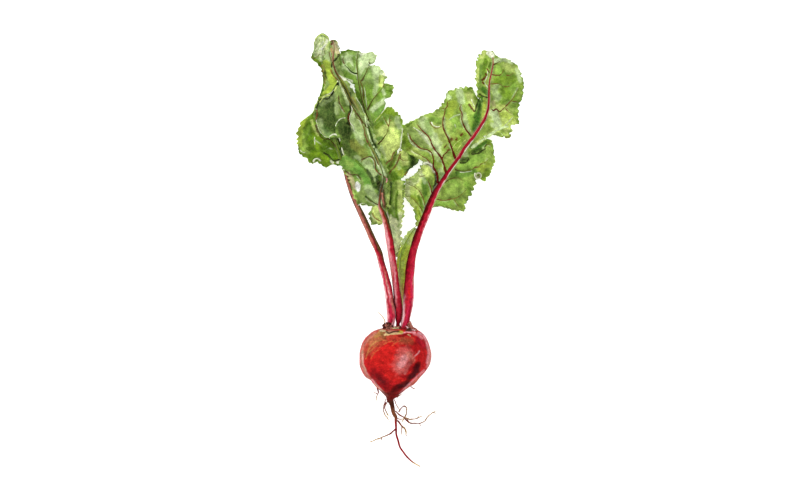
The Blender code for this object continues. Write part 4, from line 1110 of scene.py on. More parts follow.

# %% [markdown]
# ## Markings
# The markings of each leaf are strokes in plan, and the numbers after each stroke's settings
# are its points: x, y, x, y and so on, in millimetres.  A stain is a colour, a half width and
# a strength.  A vein is a colour and the radius at its thick end, and its line starts there.
# A turned edge is a colour and a half width along the line where the blade rolls over.  Where
# tissue has died the blade is bleached, and that is an ellipse with a ragged rim.

# %% Markings of the blades
# Broad stains: colour, half width, strength, x, y, ...  The soot, ink, pine and slate ones are
# for the most part painted shade: pockets under folds, gaps under overlapping lobes, crevices.
WASHES = {"left": [
    ("leaf", 8.5, .9, -81, 208, -66, 194),
    ("sprout", 4.8, .7, -86, 215, -87, 199, -85, 194),
    ("lime", 3.4, .9, -91, 200, -91, 213, -85, 222),
    ("fern", 1.5, .5, -80, 219.5, -81, 210, -79, 200.5),
    ("fern", 2.3, .4, -74, 216, -69, 209, -62, 203),
    ("moss", 2.5, .8, -82, 221, -85, 213, -83, 202, -78, 195),
    ("fresh", 2.8, .6, -75, 225, -72, 213),
    ("spring", 3.4, .7, -66, 195, -60, 188),
    ("pine", 2.5, .8, -53, 193, -50, 186),
    ("pine", 1.9, .7, -67, 202, -55, 195),
    ("cream", 1.2, .9, -60.5, 183, -59, 181.5),
    ("cream", 1.2, .9, -55, 182, -53, 182),
    ("pale", 1.4, .7, -79, 221.5, -77, 214.5, -73, 208),
    ("moss", 1.5, .6, -81, 223.5, -78, 225),
    ("mint", 8.5, .9, -69, 294, -70, 289),
    ("pale", 4.8, .8, -69, 296, -67, 293),
    ("cream", 1.5, .95, -71.5, 285.5, -67.5, 291, -64.5, 297.5),
    ("moss", 4.8, .8, -66, 194, -59, 189),
    ("frost", 5.7, .6, -72, 296, -70, 287),
], "middle": [
    ("fresh", 28.5, .45, -43, 203, -31, 165),
    ("sage", 3.8, .9, -67, 289, -65, 279),
    ("tan", 3.0, .85, -57, 293, -54, 286),
    ("rose", 1.2, .6, -60, 289, -58.5, 284, -58.5, 280),
    ("maroon", 1.1, .95, -60, 297, -58, 295.5, -60, 293.5),
    ("cream", 1.1, .7, -54, 293.5, -53, 290.5),
    ("lime", 2.8, .95, -68, 276, -64, 275, -62, 268),
    ("olive", 2.1, .9, -69, 273, -66, 261),
    ("maroon", 1.1, .9, -70.5, 273.5, -67, 256.5),
    ("lime", 3.6, .95, -62, 265, -59, 258, -60, 252, -70, 240),
    # painted shadow under the yellow-green fold of the blade's left margin
    ("pine", 1.4, .98, -54, 255.5, -59.5, 247, -63, 244, -68.5, 241.5, -74.5, 233.5),
    ("slate", 10.4, .75, -64, 234, -65, 218),
    ("slate", 7.6, .7, -48, 198, -41, 192),
    ("slate", 3.4, .85, -62, 238, -62, 220),
    ("sage", 2.8, .4, -69, 238, -57, 245),
    ("sage", 3.0, .6, -71, 221, -69, 212, -63, 208),
    ("pine", 1.1, .85, -58.5, 237.5, -57, 209.5),
    ("heath", 2.8, .85, -54, 251, -53, 241, -54, 230),
    ("sage", 2.1, .9, -49, 251, -46, 242, -44, 237),
    ("sage", 1.7, .7, -55.5, 237.5, -55, 228),
    ("heath", 2.7, .9, -48, 257, -44, 249),
    ("cream", 1.3, .9, -52.5, 263, -48, 260.5, -43, 260),
    ("slate", 6.1, .98, -51, 218, -47, 205),
    ("pine", 3.4, .95, -45, 217, -44, 208),
    # painted shade in the crevice between two layers of the blade
    ("soot", 1.2, .99, -42.5, 238, -42, 232.5, -40.5, 231.5, -43, 229, -44, 226, -44.5, 218.5,
       -42, 216.5, -42, 214, -40, 211.5),
    ("dusk", 4.0, .5, -48, 202, -45, 186),
    ("heath", 6.6, .8, -33, 230, -32, 217),
    ("sage", 2.5, .9, -40, 227, -40, 220, -38, 212, -35, 205, -31, 200),
    ("sage", 2.7, .8, -35, 221, -31, 205),
    ("olive", 2.2, .95, -40, 242, -35, 231),
    ("pine", 1.1, .98, -27, 223, -23.5, 209, -18, 196),
    ("sage", 1.3, .85, -24, 221.5, -20.5, 213, -18.5, 201.5),
    ("mint", 1.9, .85, -18, 193, -15, 187),
    ("mint", 2.8, .95, -15, 179, -10, 169),
    ("olive", 4.2, .6, -39, 200, -30, 188),
    ("sage", 3.0, .8, -36, 186, -32, 181),
    ("sage", 4.4, .9, -28, 181, -19, 167),
    ("spring", 5.3, .95, -49, 183, -36, 177, -24, 160),
    ("sprout", 2.8, .6, -47, 182, -42, 179),
    ("fern", 3.2, .5, -33, 173, -26, 163),
    ("pine", 1.8, .9, -26.5, 174, -22, 167, -19.5, 158),
    ("pine", 3.6, .95, -15, 167, -13, 149),
    ("moss", 2.5, .7, -13, 168, -11, 163),
    ("soot", 2.1, .95, -15, 162, -13, 155),
    ("heath", 1.9, .9, -8, 160, -7, 141),
    ("hide", 2.3, .95, -12, 155, -10, 140),
    ("tan", 2.2, .85, -44, 171, -38, 158),
    ("heath", 3.6, .8, -33, 164, -30, 146),
    ("sage", 3.8, .9, -26, 158, -16, 143),
    ("pale", 4.0, .9, -19, 137, -17, 129, -13, 125),
    ("pine", 1.7, .55, -40.5, 212, -39.5, 202.5),
    ("fern", 1.9, .5, -50, 186, -48, 180),
    ("pine", 1.9, .4, -60, 215, -56, 205),
    ("mint", 2.3, .6, -27, 222, -21, 216),
    ("sprout", 1.9, .7, -12, 187, -10, 180),
    ("sprout", 1.7, .6, -7, 162.5, -6.5, 157),
    ("mint", 2.3, .6, -49, 281, -48, 276),
    ("fern", 2.8, .5, -67, 215, -62, 208),
    ("heath", 2.8, .6, -36, 220, -33, 213),
], "inner": [
    ("mint", 11.4, .6, -41, 277, -22, 270),
    ("moss", 1.4, .9, -50.5, 285.5, -45.5, 288, -39, 288, -33, 285.5),
    ("fresh", 1.9, .7, -43, 286, -36, 284),
    ("mint", 3.4, .8, -46, 279, -42, 273),
    ("fresh", 1.9, .85, -39, 281, -37, 270),
    ("fresh", 1.9, .7, -44, 275, -40, 270),
    ("mint", 5.7, .95, -30, 282, -29, 273, -20, 284),
    ("cream", 1.3, .6, -32.5, 284, -27.5, 285.5),
    ("fresh", 1.7, .7, -27.5, 270, -31.5, 262),
    ("fresh", 4.8, .7, -23, 268, -24, 253),
    ("sage", 2.5, .8, -20, 270, -17, 258, -19, 247),
    ("moss", 1.9, .6, -25, 245, -23, 236),
    ("pale", 2.3, .8, -13, 266, -13, 255),
    ("cream", 1.7, .9, -12, 266, -7.5, 264),
    ("mint", 1.5, .8, -11.5, 250, -10, 246.5),
    ("mint", 2.5, .9, -22, 231, -10, 241),
    ("spring", 3.0, .8, -17, 228, -12, 233),
    ("fresh", 2.1, .8, -24, 229, -21, 222),
    ("fresh", 4.8, .8, -48, 264, -41, 262, -35, 251),
    ("moss", 2.5, .7, -36, 247, -31, 238),
    ("cream", 1.5, .8, -47.5, 260.5, -41.5, 258.5),
    ("pale", 12.3, .95, -7, 209, -1, 194),
    ("leaf", 4.0, .9, -7, 230, -1, 231, 7, 219),
    ("leaf", 2.5, .85, -13, 219, -17, 215),
    ("spring", 1.8, .85, -16, 204, -12.5, 205),
    ("mint", 2.1, .5, -13, 196, -10, 184),
    ("moss", 2.1, .9, 1, 191, -2, 182, -9, 170),
    ("bark", 1.4, .5, 0, 188, -5, 177.5),
    ("sprout", 2.5, .7, 3, 187, 5, 181),
    ("pale", 4.4, .9, 9, 191, 9, 182),
    ("lime", 3.4, .8, 2, 177, 7, 171),
    # painted shadow on a half hidden scrap of this blade
    ("pine", 3.2, .98, 16, 187, 18, 179),
    ("pine", 3.4, .95, -15, 167, -13, 160, -14, 148),
    ("moss", 2.5, .7, -13, 168, -11, 163),
    ("soot", 2.1, .9, -15, 162, -14, 156),
    ("moss", 3.0, .9, -4, 173, 1, 165),
    ("blush", 1.1, .9, -8.5, 167, -7.5, 164.5, -9, 162),
    ("pale", 2.1, .75, -8, 162, -6, 141),
    ("pine", 1.2, .9, -4, 162.5, -3.5, 151, -5, 142.5),
    ("sprout", 2.7, .8, 1, 162, 0, 151, 1, 142),
    ("moss", 1.1, .85, 3, 157, 1, 146.5, 1, 134, 3, 123.5),
    ("pale", 2.8, .8, 5, 162, 6, 135),
    ("frost", 1.9, .7, 5, 133, 6, 116),
    ("cream", 1.4, .95, -12, 138.5, -8.5, 135.5, -6.5, 129),
    ("moss", 2.3, .8, -5, 136, -3, 128),
    ("frost", 5.7, .95, -2, 125, 3, 97),
    ("sage", 1.1, .7, -1.5, 119.5, 0.5, 108.5),
    ("heath", 3.8, .8, -27, 230, -24, 218),
    ("mint", 3.8, .8, -19, 274, -15, 267),
    ("mint", 2.8, .6, 2, 223, 4, 215),
    ("sprout", 2.3, .7, -13, 188, -10, 180),
    ("sprout", 1.9, .65, -7, 162, -6, 156),
    ("mint", 2.1, .6, -2, 120, -1, 111),
    ("mint", 2.1, .5, 2, 181, 4, 176),
    ("sprout", 2.8, .5, -3, 175, 4, 180),
    ("mint", 2.3, .6, -49, 281, -48, 276),
    ("olive", 1.5, .6, 3, 196.5, 2, 190),
], "right": [
    ("pale", 13.3, .5, 28, 208, 48, 213),
    ("pale", 4.8, .6, 39, 194, 48, 186),
    ("pale", 3.8, .6, 16, 196, 28, 179),
    ("leaf", 3.4, .85, 11, 204, 13, 196),
    ("heath", 4.2, .8, 15, 212, 21, 200),
    ("heath", 4.4, .8, 21, 210, 30, 198),
    ("pale", 2.8, .7, 28, 217, 39, 200),
    ("cream", 1.9, .35, 24, 210, 33, 199),
    ("cream", 1.2, .4, 46.5, 224, 46.5, 215.5, 51.5, 205),
    ("cream", 1.2, .4, 62.5, 235.5, 65.5, 220.5, 70.5, 212),
    ("fern", 2.8, .3, 104, 247, 111, 255),
    ("fern", 1.9, .35, 98, 268, 109, 262),
    ("fern", 2.5, .35, 81, 184, 88, 192),
    ("fern", 2.5, .3, 48, 154, 60, 142),
    ("cream", 2.1, .35, 54, 160, 62, 154),
    ("mint", 5.5, .75, 28, 219, 40, 194),
    ("fresh", 3.2, .85, 35, 223, 41, 221),
    ("mint", 2.1, .8, 48, 248, 52, 243),
    ("mint", 3.2, .8, 61, 251, 63, 240),
    ("lime", 3.8, .8, 55, 238, 52, 226),
    ("grass", 4.6, .8, 57, 222, 59, 214),
    ("olive", 2.7, .65, 53, 204, 60, 210),
    ("leaf", 2.8, .7, 58, 200, 65, 208),
    ("sage", 1.9, .7, 66, 228, 68, 218, 71, 209),
    ("fresh", 2.8, .85, 73, 225, 75, 212),
    ("fern", 3.0, .95, 81, 243, 76, 213),
    ("pine", 1.2, .8, 80.5, 238.5, 77.5, 220.5),
    ("lime", 1.9, .85, 85, 238, 84, 227, 81, 218),
    ("pale", 3.0, .9, 70, 246, 75, 233),
    ("leaf", 2.1, .85, 77, 243, 80, 246),
    ("sprout", 4.4, .9, 81, 279, 81, 251),
    ("moss", 2.0, .85, 86, 279, 84, 270, 85, 262),
    ("fern", 1.3, .6, 81.5, 273.5, 80.5, 258.5),
    ("fern", 2.8, .95, 83, 252, 88, 247),
    ("fresh", 1.9, .6, 80, 260, 80, 249),
    ("pale", 1.3, .8, 78.5, 270, 78.5, 258.5),
    ("maroon", 1.1, .95, 83, 260, 85.5, 262.5),
    ("pale", 2.3, .9, 82, 282, 85, 286),
    ("cream", 2.5, .9, 89, 285, 92, 283),
    ("moss", 1.2, .8, 90.5, 276, 89.5, 271.5),
    ("fresh", 11.4, .75, 104, 260, 107, 241),
    ("grass", 3.8, .6, 98, 260, 105, 258),
    ("mint", 2.3, .9, 95, 278, 103, 280, 111, 277),
    ("pale", 3.8, .6, 106, 273, 114, 270),
    ("grass", 3.0, .8, 96, 272, 100, 267),
    ("leaf", 3.8, .7, 96, 260, 110, 260),
    ("mint", 1.9, .75, 116, 270, 119, 259),
    ("sage", 3.8, .8, 95, 252, 97, 243),
    ("leaf", 4.4, .6, 104, 249, 110, 245),
    ("tan", 2.5, .6, 93, 238, 95, 232),
    ("pale", 12.3, .8, 100, 225, 107, 220),
    ("mint", 4.0, .9, 94, 228, 97, 217),
    ("lime", 3.0, .7, 102, 228, 110, 224),
    ("leaf", 2.3, .8, 114, 228, 118, 220),
    ("pale", 2.5, .9, 72, 196, 97, 213),
    ("fresh", 2.5, .9, 76, 194, 83, 198, 88, 202),
    ("moss", 1.1, .8, 74, 194, 86.5, 202),
    ("sage", 2.7, .9, 66, 192, 68, 186),
    ("slate", 1.5, .85, 64.5, 183.5, 69, 185.5),
    ("grass", 5.3, .95, 69, 181, 86, 193),
    ("fern", 1.9, .7, 59, 172, 65, 176, 75, 174),
    ("fern", 2.1, .8, 75, 193, 82, 197, 86, 201),
    ("grass", 3.8, .8, 63, 178, 71, 178),
    ("leaf", 2.5, .6, 89, 200, 93, 184),
    ("lime", 4.0, .85, 81, 176, 89, 180),
    ("grass", 2.5, .8, 63, 170, 77, 172),
    ("leaf", 2.8, .8, 88, 173, 85, 165),
    ("grass", 6.1, .95, 54, 160, 59, 154),
    ("fresh", 3.4, .85, 68, 161, 74, 150),
    ("grass", 3.0, .9, 40, 143, 48, 142, 55, 144),
    ("moss", 1.2, .85, 39.5, 139.5, 45.5, 137.5, 51, 138.5),
    ("sage", 2.8, .9, 43, 174, 46, 167, 42, 161),
    ("fern", 1.7, .4, 43, 165.5, 40.5, 156),
    ("sage", 2.8, .6, 38, 194, 41, 184),
    ("ink", 1.4, .95, 34.5, 178, 38, 173, 39, 165.5, 37, 157, 34, 148, 26, 134),
    ("bark", 1.1, .9, 40, 171, 40.5, 161.5, 38, 154),
    ("soot", 1.2, .95, 34, 178.5, 38.5, 173, 39.5, 165.5, 34, 148, 26, 134),
    ("pale", 7.6, .95, 12, 158, 28, 173),
    ("frost", 3.8, .75, 10, 162, 16, 162, 24, 171),
    ("lime", 3.2, .8, 13, 149, 20, 146),
    ("sprout", 2.8, .7, 18, 165, 21, 169),
    ("fresh", 3.4, .95, 28, 165, 29, 156, 28, 146),
    ("fern", 1.9, .6, 27, 162, 29, 152),
    ("pale", 2.8, .8, 21, 159, 23, 152),
    ("moss", 1.3, .9, 22, 150, 25, 142.5, 27.5, 135),
    ("cream", 1.5, .95, 26.5, 181, 31.5, 181, 35.5, 177.5, 37, 173),
    ("sprout", 1.9, .8, 34, 169, 35, 162),
    ("pale", 2.5, .8, 16, 144, 22, 137),
    ("fresh", 2.1, .8, 24, 141, 26, 133),
    ("lime", 2.3, .9, 21, 139, 24, 131, 21, 122),
    ("sprout", 4.8, .8, 87, 193, 92, 186),
    ("sprout", 5.7, .7, 54, 157, 58, 150),
    ("fern", 3.0, .55, 44, 169, 58, 169, 75, 173),
    ("frost", 2.5, .7, 12, 162, 12, 148),
    ("mint", 1.9, .6, 26, 170, 28, 163),
    ("bark", 1.3, .6, 31, 180.5, 36, 177.5, 37, 171),
    ("olive", 1.9, .5, 12, 194, 22, 191),
    ("fresh", 3.2, .6, 31, 220, 33, 209),
    ("fresh", 3.4, .5, 48, 213, 60, 206),
    ("fresh", 2.8, .5, 46, 192, 49, 186),
    ("fresh", 3.2, .55, 74, 199, 71, 192),
    # painted shadow: the next two strokes darken the pocket under the rolled strip
    ("pine", 2.4, .8, 64, 184, 68, 185),
    ("pine", 1.9, .7, 74, 192, 81, 194),
    ("fern", 2.1, .6, 72, 197, 78, 198),
    ("olive", 1.7, .5, 100.5, 235.5, 105.5, 236.5),
    ("fern", 2.8, .6, 79, 225, 79, 218),
    ("mint", 2.3, .6, 92, 218, 96, 215),
    ("maroon", 1.3, .95, 53, 202.5, 53.5, 204),
    ("maroon", 1.2, .9, 58, 203.5, 58.5, 204.5),
    ("maroon", 1.2, .95, 62.5, 207.5, 63.5, 208.5),
], "young": [
    ("pale", 2.3, .7, 3, 51, 4, 80),
    ("rose", 1.3, .5, 7, 66.5, 6.5, 54),
    ("lime", 2.3, .8, 10, 103, 10, 87),
    ("sprout", 2.3, .8, 7, 87, 5, 66),
    ("cream", .8, .8, 1.5, 59, 0.5, 80, 1.5, 91),
    ("cream", .7, .7, 13.5, 80, 14.5, 94, 18.5, 108.5),
    ("moss", .9, .7, 10, 70.5, 11.5, 81.5, 15, 97),
    ("pale", 1.5, .7, 14, 105.5, 19, 114),
    ("fresh", 1.5, .7, 5.5, 93, 10.5, 105.5),
]}

# Narrow stains, which are laid on the blade as thin limbs.  The soot, pine and slate ones are
# painted shadow along folds and crevices.
CREASES = {"left": [
    ("cream", .6, .72, -76.5, 206.5, -76, 198),
    ("cream", .5, .64, -90.5, 194, -87.5, 191.5, -84.5, 192),
    ("moss", .9, .63, -84.5, 196, -80, 193, -73, 193, -67.5, 191.5),
    ("cream", .5, .64, -77.5, 182.5, -75.5, 185, -73, 185.5, -70.5, 183),
    ("soot", .9, .85, -68.5, 191.5, -64.5, 189.5, -57, 183.5, -53, 184.5, -50.5, 183.5),
    ("white", 1.0, .64, -70.5, 288.5, -66, 294),
    ("cream", .5, .72, -75.5, 287, -72.5, 292.5, -69.5, 296.5),
    ("sage", 1.0, .81, -76.5, 289, -74.5, 294.5, -71.5, 299),
    ("sage", .8, .72, -74.5, 287, -69, 295.5),
    ("slate", .6, .45, -76, 286.5, -72.5, 291),
    ("pale", .7, .72, -76, 298.5, -73, 301.5, -69.5, 303.5, -65, 301.5, -62, 297.5),
    ("olive", .9, .72, -79, 281.5, -76, 281.5, -71, 284.5),
    ("rust", .5, .63, -70.5, 284.5, -63.5, 277.5),
    ("cream", .5, .64, -72, 278, -69, 278, -67.5, 275.5),
    ("hide", .7, .81, -72, 209, -70, 206, -66.5, 204, -63, 204, -59, 200.5, -55, 195),
    ("soot", 1.0, .88, -54.5, 205.5, -53, 202, -53, 198.5),
    ("white", .7, .56, -67.5, 297.5, -71, 291.5, -72.5, 287),
], "middle": [
    ("cream", .5, .56, -61, 286, -61, 279),
    ("rust", .6, .72, -62.5, 287, -60, 277),
    ("soot", 1.0, .85, -52.5, 284.5, -55.5, 279.5, -59.5, 275, -60, 271),
    ("pine", .8, .77, -66, 270.5, -66, 265, -64, 261),
    ("cream", .5, .68, -54, 259.5, -54.5, 255.5, -60, 248, -66.5, 245, -73, 239),
    ("rust", .9, .81, -61, 270, -59, 265, -53, 259),
    # painted shadow under the yellow-green fold
    ("soot", .9, .88, -53.5, 257.5, -59, 247.5, -64.5, 242, -69, 242.5, -74.5, 233.5),
    ("cream", .6, .64, -75.5, 233, -73.5, 231),
    ("rust", .9, .81, -74.5, 232, -73.5, 228.5, -75.5, 221),
    ("hide", .9, .85, -75.5, 218.5, -73.5, 212, -71.5, 208.5),
    ("cream", .4, .6, -75, 222.5, -72, 213, -68, 207.5, -63.5, 205),
    ("cream", .4, .56, -50, 252.5, -44.5, 240.5),
    ("hide", .6, .81, -53, 245.5, -53.5, 242, -50, 232),
    ("pine", .9, .85, -42.5, 248.5, -42, 244.5),
    ("cream", .4, .72, -56, 215.5, -55, 219.5, -52, 222.5, -46.5, 224),
    ("maroon", .9, .81, -43, 228.5, -44, 225, -42, 217),
    ("cream", .5, .72, -62.5, 204.5, -60.5, 207, -57, 208, -53.5, 205.5, -52, 201.5),
    ("cream", .5, .68, -50.5, 196.5, -48.5, 188.5),
    ("cream", .5, .76, -41.5, 236, -40.5, 233, -42.5, 224, -42.5, 220, -39.5, 215, -38, 210.5),
    ("cream", .4, .64, -37, 243, -30.5, 232, -28.5, 226.5),
    ("pine", .9, .81, -23, 202.5, -17, 188, -13.5, 181.5),
    ("moss", .8, .77, -25.5, 200.5, -22, 194, -16, 180.5),
    ("moss", .8, .54, -21, 181.5, -20.5, 175),
    ("hide", .7, .85, -32.5, 183.5, -28.5, 185.5, -24, 187, -20.5, 185, -18.5, 181.5, -18.5, 176,
       -16, 172, -12.5, 169.5, -9.5, 166.5),
    ("moss", 1.0, .72, -38, 184.5, -26.5, 173),
    ("cream", .7, .68, -50, 175.5, -47.5, 174),
    ("hide", .8, .81, -48, 174.5, -41, 170, -36, 170, -31.5, 165),
    ("cream", .4, .64, -36.5, 169, -32.5, 164),
    ("rose", .9, .81, -12.5, 153, -10.5, 140.5),
    ("blush", 1.0, .81, -8.5, 167, -7.5, 164.5, -9, 162),
    ("pine", .8, .81, -28.5, 150, -16, 141),
    ("cream", .5, .64, -35, 141, -30.5, 143, -25.5, 141),
    ("rust", .6, .72, -21.5, 134, -20, 131, -13.5, 125.5),
], "inner": [
    ("moss", .9, .72, -33.5, 284.5, -35.5, 279.5),
    ("leaf", .9, .63, -14, 265, -15, 256.5),
    ("moss", .7, .77, -9, 254, -2, 254.5),
    ("moss", .8, .77, -9, 250, -2, 249.5),
    ("cream", .5, .72, -8.5, 232.5, -20, 220),
    ("cream", .4, .56, -29, 253.5, -26.5, 233.5),
    ("leaf", .9, .77, -8, 231, -19, 219.5),
    ("cream", .5, .64, 7, 214, 5.5, 197.5),
    ("rust", .8, .81, 0, 192, -2.5, 188.5, -3.5, 184.5, -7.5, 181.5, -10, 176.5),
    ("rust", .9, .81, 5, 193.5, 4, 187, 1, 179.5, -4.5, 173, -7.5, 167.5),
    ("rust", 1.0, .77, 9, 169, 12, 174),
    ("pine", .9, .81, 11, 173, 15, 178),
    ("moss", .8, .72, 12, 193, 14, 188),
    ("soot", .9, .81, -9, 139.5, -5.5, 137.5),
    ("moss", .9, .72, 7.5, 156, 8, 146.5),
    ("cream", .4, .64, -3, 123.5, 2, 117),
    ("olive", .7, .63, 1.5, 92, 5.5, 105.5),
], "right": [
    ("cream", .5, .64, 17, 215.5, 28.5, 206, 32.5, 199, 35.5, 195),
    ("cream", .4, .56, 12, 210, 14, 202.5, 20, 196),
    ("moss", .9, .72, 11, 216, 18.5, 221.5),
    ("cream", .5, .72, 34, 220.5, 37, 216.5, 43, 215.5),
    ("rust", .6, .72, 33, 221, 35.5, 216, 39.5, 214.5, 44.5, 215.5),
    ("mint", .9, .77, 51, 222, 56, 225.5, 62, 227.5),
    ("cream", .6, .56, 56.5, 218, 58, 214.5),
    ("rust", .9, .81, 53.5, 204, 54, 202.5),
    ("maroon", .8, .81, 59, 204, 59, 203.5),
    ("pale", .5, .64, 54, 195, 58, 200, 62.5, 203.5),
    ("pale", .5, .56, 58.5, 192, 63.5, 199.5, 67.5, 203.5),
    ("cream", .6, .64, 72, 242.5, 75.5, 234.5),
    ("moss", 1.0, .81, 68, 250, 71, 252.5, 74.5, 252.5),
    ("maroon", .9, .85, 69.5, 237.5, 75.5, 229.5),
    ("soot", .8, .85, 75.5, 229.5, 80, 243),
    ("soot", .9, .85, 79.5, 247, 83.5, 244.5, 88, 243),
    ("cream", .6, .68, 88, 269, 87, 262, 85, 257.5, 88, 252.5),
    ("maroon", .9, .85, 82.5, 258.5, 84.5, 255.5),
    ("maroon", .8, .85, 85, 266.5, 88, 263),
    ("maroon", .7, .85, 86.5, 271, 90, 266.5),
    ("moss", .9, .45, 100, 238.5, 107.5, 241.5),
    ("pale", .7, .64, 115, 224, 118, 225),
    ("cream", .5, .68, 112, 225.5, 107.5, 220, 101.5, 215, 94, 212),
    ("olive", .9, .72, 104, 206, 107.5, 205.5, 110, 209),
    ("cream", .4, .64, 100, 210, 103, 207),
    ("soot", .9, .85, 72, 190, 77.5, 190, 86, 195.5),
    ("soot", .9, .81, 61, 181.5, 66.5, 181.5, 70.5, 185.5),
    ("cream", .4, .56, 61, 172.5, 67.5, 172.5, 73.5, 174),
    ("maroon", .9, .81, 36.5, 176.5, 40.5, 170, 41, 163.5),
    ("rust", .6, .63, 23, 168, 28.5, 169.5),
    ("moss", .8, .63, 22.5, 137, 24.5, 129),
    ("maroon", .9, .85, 46, 195, 49.5, 199),
    ("maroon", .9, .81, 52, 194, 49.5, 192.5, 49, 190),
]}

# Veins: colour, radius at the thick end, x, y, ...
VEINS = {"left": [
    ("moss", .47, -51.5, 194, -62, 196.5, -73, 202.5, -81.5, 209),
    ("moss", .38, -62, 196.5, -69.5, 194, -78, 193),
    ("olive", .38, -64.5, 279.5, -70.5, 297.5),
], "middle": [
    ("bark", .85, -25.5, 213, -39, 232, -52, 258),
    ("rust", .57, -23, 196, -26.5, 202.5, -30.5, 216.5, -33, 222, -36.5, 224, -38, 229),
    ("rust", .57, -8.5, 167, -16, 172, -18, 175, -20, 184.5, -22.5, 187, -26, 187, -32.5, 181.5),
    ("bark", .47, -15, 141, -26.5, 148, -28.5, 151.5),
    ("rust", .38, -13, 126, -18, 128, -22, 132.5),
    ("bark", .66, -15, 178.5, -23, 195, -27, 201.5),
    ("rust", .38, -47.5, 229, -52, 238.5, -53, 244.5),
], "inner": [
    ("bark", .81, -25.5, 222.5, -29.5, 237.5, -31.5, 255.5, -34.5, 262, -35.5, 268, -36.5, 277.5),
    ("pine", .57, -35, 265.5, -39, 266.5, -48, 274.5),
    ("rust", .47, -48, 274.5, -49, 277.5, -49, 282),
    ("bark", .62, -32, 258, -23.5, 274.5),
    ("bark", .47, -23.5, 274.5, -24.5, 277, -24, 280),
    ("bark", .62, -26.5, 231, -20.5, 241.5, -11.5, 252.5),
    ("rust", .47, -11.5, 252.5, -10.5, 255.5, -11, 258),
    ("bark", .62, -19, 195.5, -10.5, 205, -7.5, 210, -6, 215.5),
    ("rust", .47, -6, 215.5, -11.5, 226),
    ("rust", .47, -6, 215.5, -4.5, 226.5),
    ("rust", .33, -5.5, 221, -1.5, 222.5),
    ("rust", .38, 4, 187, 8.5, 183.5, 13.5, 183.5),
    ("moss", .47, -4, 140.5, -3, 158.5),
    ("rust", .38, -8, 160.5, -5, 164.5, -2, 164.5),
], "right": [
    ("maroon", 1.04, 40.5, 161.5, 39.5, 171, 36.5, 178, 36.5, 184.5, 35.5, 188.5, 34, 191.5,
       30.5, 193.5, 24.5, 195, 19, 199.5, 15, 204, 13.5, 208),
    ("maroon", .95, 48.5, 170.5, 44.5, 184.5, 36, 196.5, 31.5, 206.5, 27.5, 210, 20.5, 218.5),
    ("maroon", .62, 44.5, 184.5, 46, 188.5, 49, 191.5, 50.5, 194, 53, 193),
    ("maroon", .95, 58, 182.5, 50.5, 204, 45.5, 215.5, 47.5, 232),
    ("rust", .52, 47.5, 232, 49.5, 235, 50, 239, 54, 242.5),
    ("rust", .38, 47.5, 232, 45.5, 233, 43, 233),
    ("maroon", .76, 73.5, 205, 66, 215, 63.5, 221.5, 63.5, 228.5, 61.5, 233, 63.5, 237.5),
    ("rust", .52, 35, 178.5, 30, 185, 24.5, 188.5, 16.5, 193),
    ("maroon", .62, 32, 142.5, 35, 150, 34, 157.5, 31, 165.5),
    ("rust", .47, 28.5, 140.5, 25.5, 150.5, 22, 156, 11, 162.5),
    ("rust", .47, 26, 135, 23.5, 140, 19, 145.5, 14.5, 149, 10, 149.5),
    ("rust", .52, 39, 147, 45.5, 146, 53, 147, 60, 149, 69, 157),
    ("rust", .43, 37, 140, 49.5, 140, 55, 136),
    ("rust", .38, 56, 147, 59.5, 141.5, 62.5, 138.5),
    ("bark", .47, 47, 162, 51.5, 165.5, 57, 167, 62, 166, 64.5, 164),
    ("bark", .57, 56.5, 175, 62, 173.5, 73, 175),
    ("rust", .47, 73, 175, 76, 177, 79, 177.5, 82.5, 181, 85.5, 181.5, 88.5, 185),
    ("bark", .47, 84.5, 196, 88.5, 199, 91.5, 198),
    ("bark", .57, 92.5, 273.5, 100, 278),
    ("rust", .52, 91, 265.5, 95, 264.5, 100, 265, 102.5, 268.5, 103.5, 271),
    ("rust", .47, 105, 265, 108.5, 264.5, 113, 267.5),
    ("rust", .52, 90, 256, 100, 256, 103, 254),
    ("rust", .38, 103, 254, 107.5, 254, 111, 257),
    ("maroon", .62, 91, 233, 93, 231, 96, 232.5, 99, 230, 101.5, 231.5, 104.5, 234.5),
    ("rust", .47, 104.5, 234.5, 111, 241.5, 117.5, 252.5),
    ("rust", .47, 104.5, 233.5, 107.5, 230, 111.5, 228),
    ("rust", .38, 111, 240, 117, 240),
    ("rust", .38, 98.5, 230, 99, 224),
]}

# Turned edges: colour, half width, x, y, ...
TURNED_EDGES = {"left": [
    ("cream", 1.0, -77.5, 182, -76, 185, -73, 185.5, -70.5, 183),
], "middle": [
    ("mint", 1.1, -28.5, 226, -27, 216.5, -24.5, 206, -20, 195.5, -15, 187),
    ("cream", 0.9, -62.5, 204.5, -60.5, 207.5, -57, 208.5, -53.5, 206, -51.5, 202),
    ("pale", 0.9, -54.5, 258.5, -55.5, 252.5, -60.5, 246, -66.5, 244, -72, 238.5),
    ("cream", 0.8, -50.5, 196, -48.5, 188.5),
], "inner": [
    ("pale", 0.8, -8.5, 232.5, -20, 219.5),
    ("cream", 0.8, 7, 214, 5, 193),
], "right": [
    ("mint", 1.9, 72, 195, 87.5, 206.5, 96, 212, 102.5, 215, 108, 216),
    ("cream", 1.2, 27, 181.5, 32.5, 181, 36.5, 177.5, 38.5, 172.5),
    ("cream", 1.8, 87, 284, 89.5, 286.5, 92.5, 284.5, 91.5, 280.5),
    ("cream", 0.8, 34, 220.5, 37, 216.5, 43, 215.5),
]}

# Bleached places: middle, half sizes, and how far they lean in degrees.  Two of them go
# through both the middle blade and the inner one below it.
THROUGH_BOTH = [(-40.6, 253.8, 1.7, 1.9, 0.0), (-38.6, 249.8, 0.7, 2.6, 26.0)]
BLEACHED = {"middle": [(-35.0, 158.6, 2.3, 4.6, 8.0), *THROUGH_BOTH], "inner": THROUGH_BOTH}

